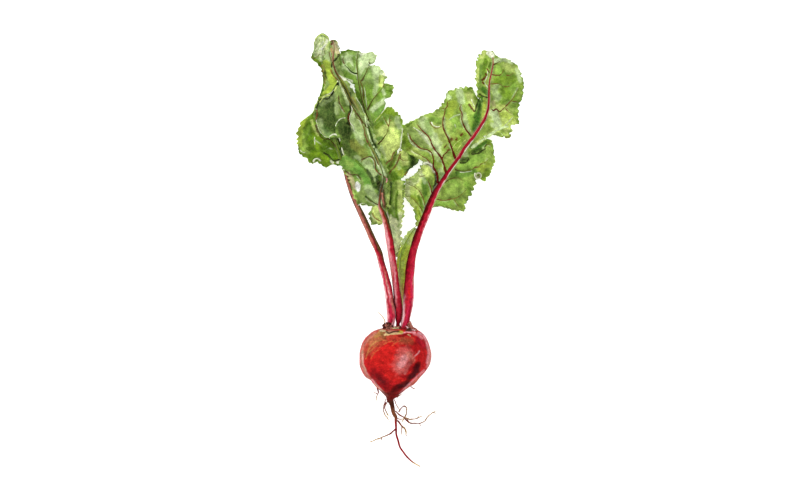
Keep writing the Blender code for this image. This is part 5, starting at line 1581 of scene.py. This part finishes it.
# Ground colours of each blade, and how its waves run: height and length in mm
GROUND = {"left": ("leaf", "moss"), "middle": ("dusk", "heath"), "inner": ("heath", "fresh"),
          "right": ("meadow", "sprout"), "young": ("lime", "sage")}
WAVES = {"left": (1.0, 15.0), "middle": (1.5, 19.0), "inner": (1.4, 17.0), "right": (1.8, 21.0),
         "young": (0.5, 12.0)}
# how much of a pale rim shows where the rim isn't dark, and of a cream line beside the midrib
RIM_LIGHT = {"left": 0.25, "middle": 0.55, "inner": 0.5, "right": 0.35, "young": 0.1}
MIDRIB_EDGE = {"left": 0.1, "middle": 0.1, "inner": 0.0, "right": 0.15, "young": 0.0}
# how light a blade is, and how strongly painted light on its cushions and painted shade in its hollows
# change that
CRINKLE_SHADE = {"left": (0.94, 0.62), "middle": (0.99, 0.57), "inner": (1.04, 0.5), "right": (0.92, 0.55),
                 "young": (1.1, 0.2)}
# stations between which a margin loses most of its notches
SMOOTH_TIP = {"left": (0.84, 0.88)}

# %% The blade's surface
# rows from foot to tip, columns from the midrib to each margin, and the thickness in mm
BLADE_ROWS, BLADE_HALF, BLADE_THICKNESS = 440, 42, 0.45
# places at which midrib and margins are measured, and rows over which the midrib's direction
# is evened out on each side
FINE_STATIONS, MIDRIB_CALM = 1500, 12
# the distance in mm from the midrib at which notches and waves have their full height
FULL_NOTCHES, FULL_WAVES = 8.0, 22.0
# a rib's slant forward as it leaves the midrib, and the share of its way at which it bends
RIB_SLANT, RIB_BEND = 0.45, 0.42
# the notches, in mm: from one to the next, their depth and how much it changes, and the depth
# and length of the finest teeth
NOTCH_STEP, NOTCH_DEPTH, NOTCH_CHANGE, TOOTH_DEPTH, TOOTH_STEP = 5.4, 1.5, 1.1, 0.9, 1.9
# a ripple near the margin, as shares of the wave's height and length
RIPPLE_HEIGHT, RIPPLE_LENGTH = 0.35, 0.37
# the cushions, in mm: how high the blade swells and how far from a vein, how deep it dips
# along a vein and how far to each side, and layers of noise for the smaller pillows
SWELL, SWELL_REACH, DIP, DIP_REACH = 0.9, 6.0, 0.35, 1.6
PILLOWS = (0.45, 5.2, 41), (0.30, 2.6, 42)
# layers of noise that decide between a blade's two ground colours
GROUND_PATCHES = (1.0, 14.0, 51), (0.6, 4.0, 52)
# the side of a vein that gets a painted highlight, as a direction in plan; the other side gets painted shade
LIT_VEIN_SIDE = np.array([-0.83, -0.55])
# how far round a vein its places are looked at, and the distance given where none is near
VEIN_SEARCH, VEIN_NONE = 12.0, 99.0
# how far round a place the blade's points count, and how fast they count less, both in mm
BLADE_SEARCH, BLADE_BLUR = 3, 0.7


def margin_points(leaf, side, t):
    """A margin at stations t."""
    rows = np.array(MARGINS[leaf][side], dtype=float)
    return np.stack([np.interp(t, rows[:, 0], rows[:, k]) for k in (1, 2, 3)], axis=1)


def smoothed(values, reach):
    """Running mean of rows over `reach` neighbours on each side, with the ends held."""
    padded = np.pad(values, ((reach, reach), (0, 0)), mode="edge")
    total = np.cumsum(np.concatenate([np.zeros((1, values.shape[1])), padded]), axis=0)
    width = 2 * reach + 1
    return (total[width:] - total[:-width]) / width


def notched(leaf, number, edge, middle, t):
    """A margin with its notches, the distance along it and its distance from the midrib."""
    away = edge[:, :2] - middle[:, :2]
    reach = np.linalg.norm(away, axis=1)
    far = travelled(edge[:, :2])
    phase = far / NOTCH_STEP + 0.5 * noise_along(far, 9.0, 31 + number)
    size = NOTCH_DEPTH + NOTCH_CHANGE * noise_along(far, 11.0, 33 + number)
    notches = size * (np.abs(np.sin(math.pi * phase)) ** 0.7 - 0.45)
    notches += TOOTH_DEPTH * noise_along(far, TOOTH_STEP, 39 + number)
    notches *= np.clip(reach / FULL_NOTCHES, 0, 1)
    if leaf in SMOOTH_TIP:
        notches *= 1 - 0.8 * ramp(t, *SMOOTH_TIP[leaf])
    edge[:, :2] += unit(away) * notches[:, None]
    return edge, far, reach


def blade_surface(leaf):
    """The blade's points, shaped (rows, columns, 3), with the share of the way out and the
    distance from the margin at each, and the midrib's place and radius at each row."""
    stalk_row = np.array(STALKS[leaf], dtype=float)
    fine = np.linspace(0, 1, FINE_STATIONS)
    first = fine[np.argmax(smooth_row(stalk_row, fine)[:, 1] >= BLADE_FROM[leaf])]
    midrib = smooth_row(stalk_row, first + (1 - first) * fine)
    lines = (midrib, margin_points(leaf, 0, fine), margin_points(leaf, 1, fine))
    run = sum(travelled(line[:, :2]) for line in lines)
    t = np.interp(np.linspace(0, 1, BLADE_ROWS), run / run[-1], fine)

    middle = smooth_row(stalk_row, first + (1 - first) * t)
    ahead = unit(np.gradient(smoothed(middle[:, :2], MIDRIB_CALM), axis=0))
    height, length = WAVES[leaf]
    halves, outs, hems = [], [], []
    for number, sign in ((0, -1.0), (1, 1.0)):  # the left half, then the right one
        edge, far, reach = notched(leaf, number, smoothed(margin_points(leaf, number, t), 1), middle, t)
        square = sign * np.stack([ahead[:, 1], -ahead[:, 0]], axis=1)
        knee = middle[:, :2] + RIB_BEND * reach[:, None] * unit(square + RIB_SLANT * ahead)
        f = np.linspace(0, 1, BLADE_HALF + 1)[None, :, None]
        plan = (1 - f) ** 2 * middle[:, None, :2] + 2 * f * (1 - f) * knee[:, None]
        plan = plan + f**2 * edge[:, None, :2]
        f = f[..., 0]
        low = middle[:, 2] - 0.35 * middle[:, 3]
        rise = low[:, None] + (edge[:, 2] - low)[:, None] * f**1.4
        room = np.clip(reach / FULL_WAVES, 0, 1)[:, None]
        turns = 2 * math.pi * far / length
        wave = np.sin(turns + 2.2 * noise_along(far, 26.0, 35 + number))[:, None]
        ripple = np.sin(turns / RIPPLE_LENGTH + 2.0 * noise_along(far, 9.0, 37 + number))[:, None]
        rise = rise + room * height * (wave * f**2.2 + RIPPLE_HEIGHT * ripple * f**5)
        halves.append(np.concatenate([plan, rise[..., None]], axis=-1))
        outs.append(np.broadcast_to(f, rise.shape))
        hems.append((1 - f) * reach[:, None])
    surface, out, hem = (np.concatenate([left[:, :0:-1], right], axis=1)
                         for left, right in (halves, outs, hems))
    return surface, out, hem, middle


def plan_line(numbers, density, least):
    """A smooth line in plan through x, y of each point, with `density` places in a millimetre
    but not less than `least`."""
    points = np.reshape(numbers, (-1, 2))
    count = max(least, int(travelled(points)[-1] * density))
    return smooth_row(points, np.linspace(0, 1, count))


def nearest_vein(places, lines):
    """Distance to the nearest vein and the offset from it, for each place."""
    gap = np.full(len(places), VEIN_NONE)
    offset = np.zeros_like(places)
    for _, _, line in lines:
        near = np.abs(places - line.mean(axis=0)).max(axis=1) < np.ptp(line, axis=0).max() + VEIN_SEARCH
        found, away = from_stroke(places[near], line[::2] if len(line) > 6 else line)
        spots = np.flatnonzero(near)
        closer = found < gap[spots]
        gap[spots[closer]] = found[closer]
        offset[spots[closer]] = away[closer]
    return gap, offset


def cushion(surface, out, gap):
    """Raise the blade between veins and press it down along them."""
    flat = surface.reshape(-1, 3)
    shape = surface.shape[:2]
    swell = SWELL * (1 - bell(gap, 0.0, SWELL_REACH)) - DIP * bell(gap, 0.0, DIP_REACH)
    lift = (swell + layered(flat[:, :2], *PILLOWS)).reshape(shape) * ramp(out, 0.02, 0.25)
    surface = surface.copy()
    surface[..., 2] = np.maximum(surface[..., 2] + lift, BLADE_THICKNESS + 0.15)
    return surface


def blade_colours(leaf, surface, hem, gap, offset, middle):
    """Ground colour with slow changes, then the washes, among them painted shade, a painted highlight
    along one side of each vein and painted shade along the other, the hem, the bleached places,
    painted light on the cushions and painted shade in the hollows, and the line beside the midrib."""
    flat = surface.reshape(-1, 3)[:, :2]
    first, second = GROUND[leaf]
    share = ramp(layered(flat, *GROUND_PATCHES), -0.7, 0.9)[:, None]
    colours = tone(first) * (1 - share) + tone(second) * share
    for name, half_width, strength, *stroke in WASHES.get(leaf, []):
        stain(colours, flat, name, half_width, strength, *stroke)
    # painted highlight on the side of each vein toward the light and painted shade on the other side
    toward_light = (offset @ LIT_VEIN_SIDE) / np.maximum(gap, 0.2)
    patchy = ramp(noise(flat, 6.0, 54), -0.2, 0.8)
    mix_in(colours, 0.45 * patchy * bell(gap, 1.1, 0.6) * ramp(toward_light, -0.2, 0.7), "cream")
    mix_in(colours, 0.40 * bell(gap, 1.3, 0.9) * ramp(-toward_light, -0.2, 0.7), "moss")
    edge = ramp(-hem.reshape(-1), -1.1, -0.3)
    dark = ramp(noise(flat, 7.0, 53), -0.3, 0.3)
    mix_in(colours, 0.7 * edge * dark, "moss")
    mix_in(colours, RIM_LIGHT[leaf] * edge * (1 - dark), "pale")
    bleach(colours, flat, BLEACHED.get(leaf, []))
    level, contrast = CRINKLE_SHADE[leaf]
    # painted light and shade: the noise that raises the cushions also lightens them and darkens the hollows
    relief = layered(flat, *PILLOWS) / sum(share for share, _, _ in PILLOWS)
    colours *= (level * (1 + contrast * relief))[:, None]
    away = np.linalg.norm(surface[..., :2] - middle[:, None, :2], axis=-1)
    beside = bell(away - middle[:, 3][:, None], 0.5, 0.7).reshape(-1)
    mix_in(colours, MIDRIB_EDGE[leaf] * beside, "cream")
    return colours


def bleach(colours, flat, spots):
    """Turn places white inside leaning ellipses with a ragged border."""
    for x, y, half_x, half_y, lean in spots:
        turn = math.radians(lean)
        dx, dy = flat[:, 0] - x, flat[:, 1] - y
        u = dx * math.cos(turn) + dy * math.sin(turn)
        v = -dx * math.sin(turn) + dy * math.cos(turn)
        ragged = 0.25 * noise(flat, 1.7, 61)
        mix_in(colours, 1 - ramp((u / half_x) ** 2 + (v / half_y) ** 2 + ragged, 0.8, 1.3), "white")


def folded_faces(surface):
    """How many faces of a grid are turned over in plan."""
    across = surface[:-1, 1:, :2] - surface[:-1, :-1, :2]
    onward = surface[1:, :-1, :2] - surface[:-1, :-1, :2]
    area = across[..., 0] * onward[..., 1] - across[..., 1] * onward[..., 0]
    return int((area < 0).sum())


def blade_at(surface, colours, places):
    """The blade's height and colour at places in plan: means over the points nearby, where
    the nearest count most."""
    flat = surface.reshape(-1, 3)
    low, high = places.min(axis=0) - BLADE_SEARCH, places.max(axis=0) + BLADE_SEARCH
    near = ((flat[:, :2] > low) & (flat[:, :2] < high)).all(axis=1)
    flat, shades = flat[near], colours[near]
    square = ((places[:, None, :] - flat[None, :, :2]) ** 2).sum(axis=-1)
    weight = np.exp(-(square - square.min(axis=1, keepdims=True)) / BLADE_BLUR)
    weight /= weight.sum(axis=1, keepdims=True)
    return weight @ flat[:, 2], weight @ shades


def blade(leaf):
    """A leaf blade, given its thickness by a Solidify modifier."""
    surface, out, hem, middle = blade_surface(leaf)
    lines = [(name, radius, plan_line(numbers, density=1.3, least=8))
             for name, radius, *numbers in VEINS.get(leaf, [])]
    gap, offset = nearest_vein(surface.reshape(-1, 3)[:, :2], lines)
    surface = cushion(surface, out, gap)
    colours = blade_colours(leaf, surface, hem, gap, offset, middle)
    piece = add_mesh(f"{leaf}_leaf_blade", surface.reshape(-1, 3), grid_faces(*surface.shape[:2]), colours,
                     [BLADE, UNDERSIDE])
    wall = piece.modifiers.new("thickness", "SOLIDIFY")
    wall.thickness = BLADE_THICKNESS * MM
    wall.offset = -1.0
    wall.material_offset = 1
    print(leaf, "blade: faces turned over in plan:", folded_faces(surface))
    slot = {"middle": "dusky_green", "young": "young_green"}.get(leaf, "blade_green")
    settle(piece, slot, f"{leaf}_blade")
    return surface, colours, lines


BLADES = {leaf: blade(leaf) for leaf in STALKS}

# %% [markdown]
# ## Veins and turned edges
# Veins could be drawn into the blade's colour, but a drawn line is only as fine as the mesh.
# As thin tapering limbs that lie in the blade they stay crisp, and they stand proud as real
# veins do.  The same limb, flatter, makes the narrow creases, whose dark ones are painted shadow
# along folds and crevices.  Rounder and paler, it makes the edges where a blade rolls over and
# shows its underside.

# %% Veins, creases and edges as limbs
# how far a limb strays to each side in mm, how much its radius changes and its shade
LIMB_STRAY, LIMB_SWELLING, LIMB_SHADE = 0.22, 0.40, 0.20
# the colour that a vein of each colour fades into
VEIN_END = {"maroon": "rust", "rust": "olive", "bark": "olive", "moss": "fresh", "pine": "moss",
            "olive": "sage"}


def lying_limb(leaf, line, radius, colour, far_colour, taper, strength, lift, flatten, sides=6):
    """Parts of a limb that follows a plan line on a blade.  `taper` is the share of its radius
    that it loses, `strength` how little of the blade's colour shows through it, and `lift` the
    share of its radius by which its middle stands above the blade."""
    surface, colours, _ = BLADES[leaf]
    run, at = travelled(line), running(line)
    seed = int(abs(line[0, 0]) * 7 + abs(line[0, 1]) * 3)
    line = line + LIMB_STRAY * np.column_stack([noise_along(run, 2.6, seed + k) for k in (0, 1)])
    height, ground = blade_at(surface, colours, line)
    height = smoothed(height[:, None], 1)[:, 0]
    size = radius * (1 - taper * at) * (1 + LIMB_SWELLING * noise_along(run, 1.9, seed + 2))
    path = round_ends(np.column_stack([line, height + lift * radius, size]), 0.6, 1.6)
    rings = rings_along(path, sides, flatten)
    share = ramp(at, 0.25, 1.0)[:, None]
    shades = tone(colour) * (1 - share) + tone(far_colour) * share
    shades = ground + strength * (shades - ground)
    shades *= 1 + LIMB_SHADE * noise_along(run, 2.0, seed + 3)[:, None]
    return limb_parts(rings, np.broadcast_to(shades[:, None], rings.shape))


def stroke_limb(leaf, numbers, radius, colour, **settings):
    """A lying limb of one colour along a stroke of a table."""
    return lying_limb(leaf, plan_line(numbers, density=1 / 0.7, least=7), radius, colour, colour, **settings)


for leaf in VEINS:
    parts = [lying_limb(leaf, line, radius, colour, VEIN_END[colour], taper=0.55, strength=0.97,
                        lift=0.3, flatten=0.8) for colour, radius, line in BLADES[leaf][2]]
    settle(joined_limbs(f"{leaf}_leaf_veins", parts, VEIN), "crimson_stalk")
for leaf in CREASES:
    parts = [stroke_limb(leaf, numbers, half_width, colour, taper=0.3, strength=strength, lift=0.25,
                         flatten=0.5) for colour, half_width, strength, *numbers in CREASES[leaf]]
    settle(joined_limbs(f"{leaf}_leaf_creases", parts, BLADE), "blade_green")
for leaf in TURNED_EDGES:
    parts = [stroke_limb(leaf, numbers, 0.8 * half_width, colour, taper=0.25, strength=0.9, lift=0.2,
                         flatten=0.6, sides=10) for colour, half_width, *numbers in TURNED_EDGES[leaf]]
    settle(joined_limbs(f"{leaf}_leaf_turned_edges", parts, BLADE), "blade_green")

# %% [markdown]
# One notch of the right leaf holds a small coil, where a scrap of blade has rolled up.  It is
# a limb along a spiral that lies on the blade and rises a little towards its middle.

# %% The coil on the right leaf
# the spiral in plan: its middle, its radius, the share of that which it loses, its turns and
# the angle at which it starts; then the radius of the limb
COIL_MIDDLE, COIL_RADIUS, COIL_CLOSING, COIL_TURNS, COIL_START = (78.9, 169.6), 3.6, 0.72, 1.7, 2.4
COIL_THICKNESS = 0.8
turn = np.linspace(0, 2 * math.pi * COIL_TURNS, 90)
share = turn / turn[-1]
ways = np.column_stack([np.cos(turn + COIL_START), np.sin(turn + COIL_START)])
plan = COIL_MIDDLE + (COIL_RADIUS * (1 - COIL_CLOSING * share))[:, None] * ways
height = blade_at(*BLADES["right"][:2], plan)[0] + 0.6 + 0.8 * share
spiral = round_ends(np.column_stack([plan, height, COIL_THICKNESS * (1 - 0.3 * share)]), 1.0, 0.8)
rings = rings_along(spiral, 12, flatten=1.3)
shades = tone("cream") * (1 - share)[:, None] + tone("olive") * share[:, None]
shades = np.broadcast_to(shades[:, None], rings.shape)
settle(limb("right_leaf_coil", rings, shades, BLADE), "blade_green")

# %% [markdown]
# ## The crown
# Where the leaves leave the root there is a rough collar of old leaf bases: short ridges of
# tan and pink with dark cracks between.  They are short limbs that lie across the joint, all
# in one mesh.  Among them stand the dead stub, which is a fan of torn fibres, and one strand
# of dry fibre.

# %% Crown ridges, stub and fibre
# the ridges: radius, colour, then points of x, y, height
CROWN_RIDGES = [
    (1.5, "rose", (-8.6, 23.6, 48.0), (-5.0, 24.6, 48.6), (-1.0, 24.9, 48.6)),
    (1.3, "hide", (-9.0, 24.8, 46.6), (-5.6, 25.6, 47.4), (-2.6, 26.0, 47.0)),
    (1.2, "tan", (-2.6, 24.4, 49.0), (1.0, 24.8, 49.6), (4.4, 24.6, 49.4)),
    (1.3, "rose", (-0.6, 26.2, 46.6), (2.6, 25.6, 47.4), (5.4, 25.8, 47.2)),
    (1.1, "hide", (4.0, 26.6, 46.0), (6.4, 25.4, 47.6), (8.6, 24.4, 48.2)),
    (1.4, "claret", (5.6, 25.0, 47.8), (8.4, 25.2, 48.2), (11.0, 25.8, 47.4)),
    (1.3, "petal", (9.6, 26.6, 45.6), (11.6, 25.4, 46.8), (13.4, 25.6, 46.4)),
    (1.0, "hide", (11.0, 23.8, 48.0), (13.2, 24.2, 47.6), (15.0, 24.0, 46.6)),
    (1.7, "rose", (12.8, 31.6, 37.0), (14.0, 28.0, 40.0), (16.6, 24.8, 42.6), (20.4, 22.0, 43.0)),
    (1.2, "petal", (14.4, 23.0, 47.0), (16.8, 22.6, 46.6), (19.4, 21.6, 45.6)),
]
# the stub is a fan of torn fibres: radius, colour, tip
STUB_ROOT = (-6.0, 24.6, 42.0)
STUB_FIBRES = [
    (1.5, "hide", (-11.6, 25.8, 40.6)), (1.5, "plum", (-11.8, 28.4, 41.4)),
    (1.4, "hide", (-10.4, 29.8, 42.4)), (1.2, "rose", (-9.2, 29.2, 43.6)),
    (1.3, "maroon", (-8, 31, 42.6)), (1.2, "rose", (-6.6, 29.4, 44)), (1.4, "hide", (-6, 31, 42.2)),
    (1.2, "maroon", (-4, 30.2, 42.4)), (1.2, "rose", (-3.4, 27.6, 44)), (1.3, "hide", (-1.8, 27.8, 43)),
]


TORN_RINGS, TORN_SIDES = 30, 16


def torn_limb(points, radius, colour, seed, flatten):
    """Parts of a wrinkled limb with dark cracks."""
    path = smooth_row([(*point, radius) for point in points], np.linspace(0, 1, TORN_RINGS))
    crinkle = 1 + 0.20 * np.cos(5 * ring_angles(TORN_SIDES) + seed)[None]
    crinkle = crinkle + 0.25 * noise_along(np.arange(TORN_RINGS), 4.0, seed)[:, None]
    rings = rings_along(round_ends(path, 0.8, 1.2), TORN_SIDES, flatten, crinkle)
    grain = ramp(noise(rings.reshape(-1, 3), 0.9, seed), -0.7, 0.4).reshape(TORN_RINGS, TORN_SIDES, 1)
    return limb_parts(rings, tone(colour) * grain + tone("hide") * (1 - grain))


parts = [torn_limb(points, radius, colour, seed, 0.6)
         for seed, (radius, colour, *points) in enumerate(CROWN_RIDGES, start=70)]
settle(joined_limbs("crown_ridges", parts, DRY), "dry_brown")
parts = []
for seed, (radius, colour, tip) in enumerate(STUB_FIBRES, start=90):
    middle = [(a * 0.45 + b * 0.55) + lift for a, b, lift in zip(STUB_ROOT, tip, (0, -0.3, 0.8))]
    parts.append(torn_limb([STUB_ROOT, middle, tip], radius * 0.8, colour, seed, 0.8))
settle(joined_limbs("dead_leaf_scale", parts, DRY), "dry_brown", "dead_leaf_stub")

DRY_FIBRE = [(-9.8, 29.0, 41.0, 0.45), (-9.6, 32.0, 42.4, 0.5), (-11.6, 35.8, 43.6, 0.45),
             (-14.2, 38.6, 43.9, 0.35), (-16.4, 41.2, 43.8, 0.25)]
path = round_ends(smooth_row(DRY_FIBRE, np.linspace(0, 1, 60)), 0.5, 1.5)
rings = rings_along(path, 8)
shades = np.broadcast_to(tone("straw"), rings.shape)
settle(limb("dry_fibre_strand", rings, shades, DRY), "straw", "dry_fibre")

# %% [markdown]
# ## Floor, light and camera
# The beetroot is shown lying on a plain, nearly white floor, and is looked at from straight
# above.  Most of the light comes evenly from all round, and the floor gives off some itself, so
# that it stays clean.  One wide soft light from the upper left gives the forms their shade,
# and a weak one from the lower right fills them in.  The camera stands far off with a long
# lens, so that the thick root isn't shown larger than the flat leaves.

# %% Floor
# the floor lies a little below the plant, so that no face of the two shares a plane
FLOOR_HALF, FLOOR_DROP = 4.0, 0.0003
corners = [(x * FLOOR_HALF, y * FLOOR_HALF, -FLOOR_DROP) for x, y in ((-1, -1), (1, -1), (1, 1), (-1, 1))]
floor_data = bpy.data.meshes.new("floor")
floor_data.from_pydata(corners, [], [(0, 1, 2, 3)])
floor = new_object("floor", floor_data)
floor_material = bpy.data.materials.new("pale floor")
floor_material.use_nodes = True
floor_shader = floor_material.node_tree.nodes["Principled BSDF"]
for label, value in (("Base Color", (0.93, 0.93, 0.92, 1.0)), ("Roughness", 0.9),
                     ("Emission Color", (1.0, 1.0, 1.0, 1.0)), ("Emission Strength", 0.60)):
    floor_shader.inputs[label].default_value = value
floor_data.materials.append(floor_material)

# %% Light
world = bpy.data.worlds.new("soft room")
world.use_nodes = True
background = world.node_tree.nodes["Background"]
background.inputs["Color"].default_value = (1.0, 1.0, 1.0, 1.0)
background.inputs["Strength"].default_value = 0.92
bpy.context.scene.world = world


def soft_light(name, direction, strength, spread):
    """A sun from a direction, as wide as `spread` degrees, so that its shadows are soft."""
    data = bpy.data.lights.new(name, "SUN")
    data.energy = strength
    data.angle = math.radians(spread)
    new_object(name, data).rotation_euler = Vector(direction).to_track_quat("Z", "Y").to_euler()


soft_light("key", (-0.55, 0.45, 0.75), strength=1.15, spread=50.0)
soft_light("fill", (0.46, -0.29, 0.84), strength=0.25, spread=20.0)

# %% Camera
# the middle and the width of the view, in metres, and the sensor's width in millimetres
VIEW_MIDDLE, VIEW_WIDTH, CAMERA_HEIGHT, SENSOR = (0.00475, 0.0988), 0.760, 5.0, 36.0
camera_data = bpy.data.cameras.new("camera")
camera_data.sensor_width = SENSOR
camera_data.lens = SENSOR * CAMERA_HEIGHT / VIEW_WIDTH
camera = new_object("camera", camera_data)
camera.location = (*VIEW_MIDDLE, CAMERA_HEIGHT)
bpy.context.scene.camera = camera
bpy.context.scene.view_settings.view_transform = "Standard"
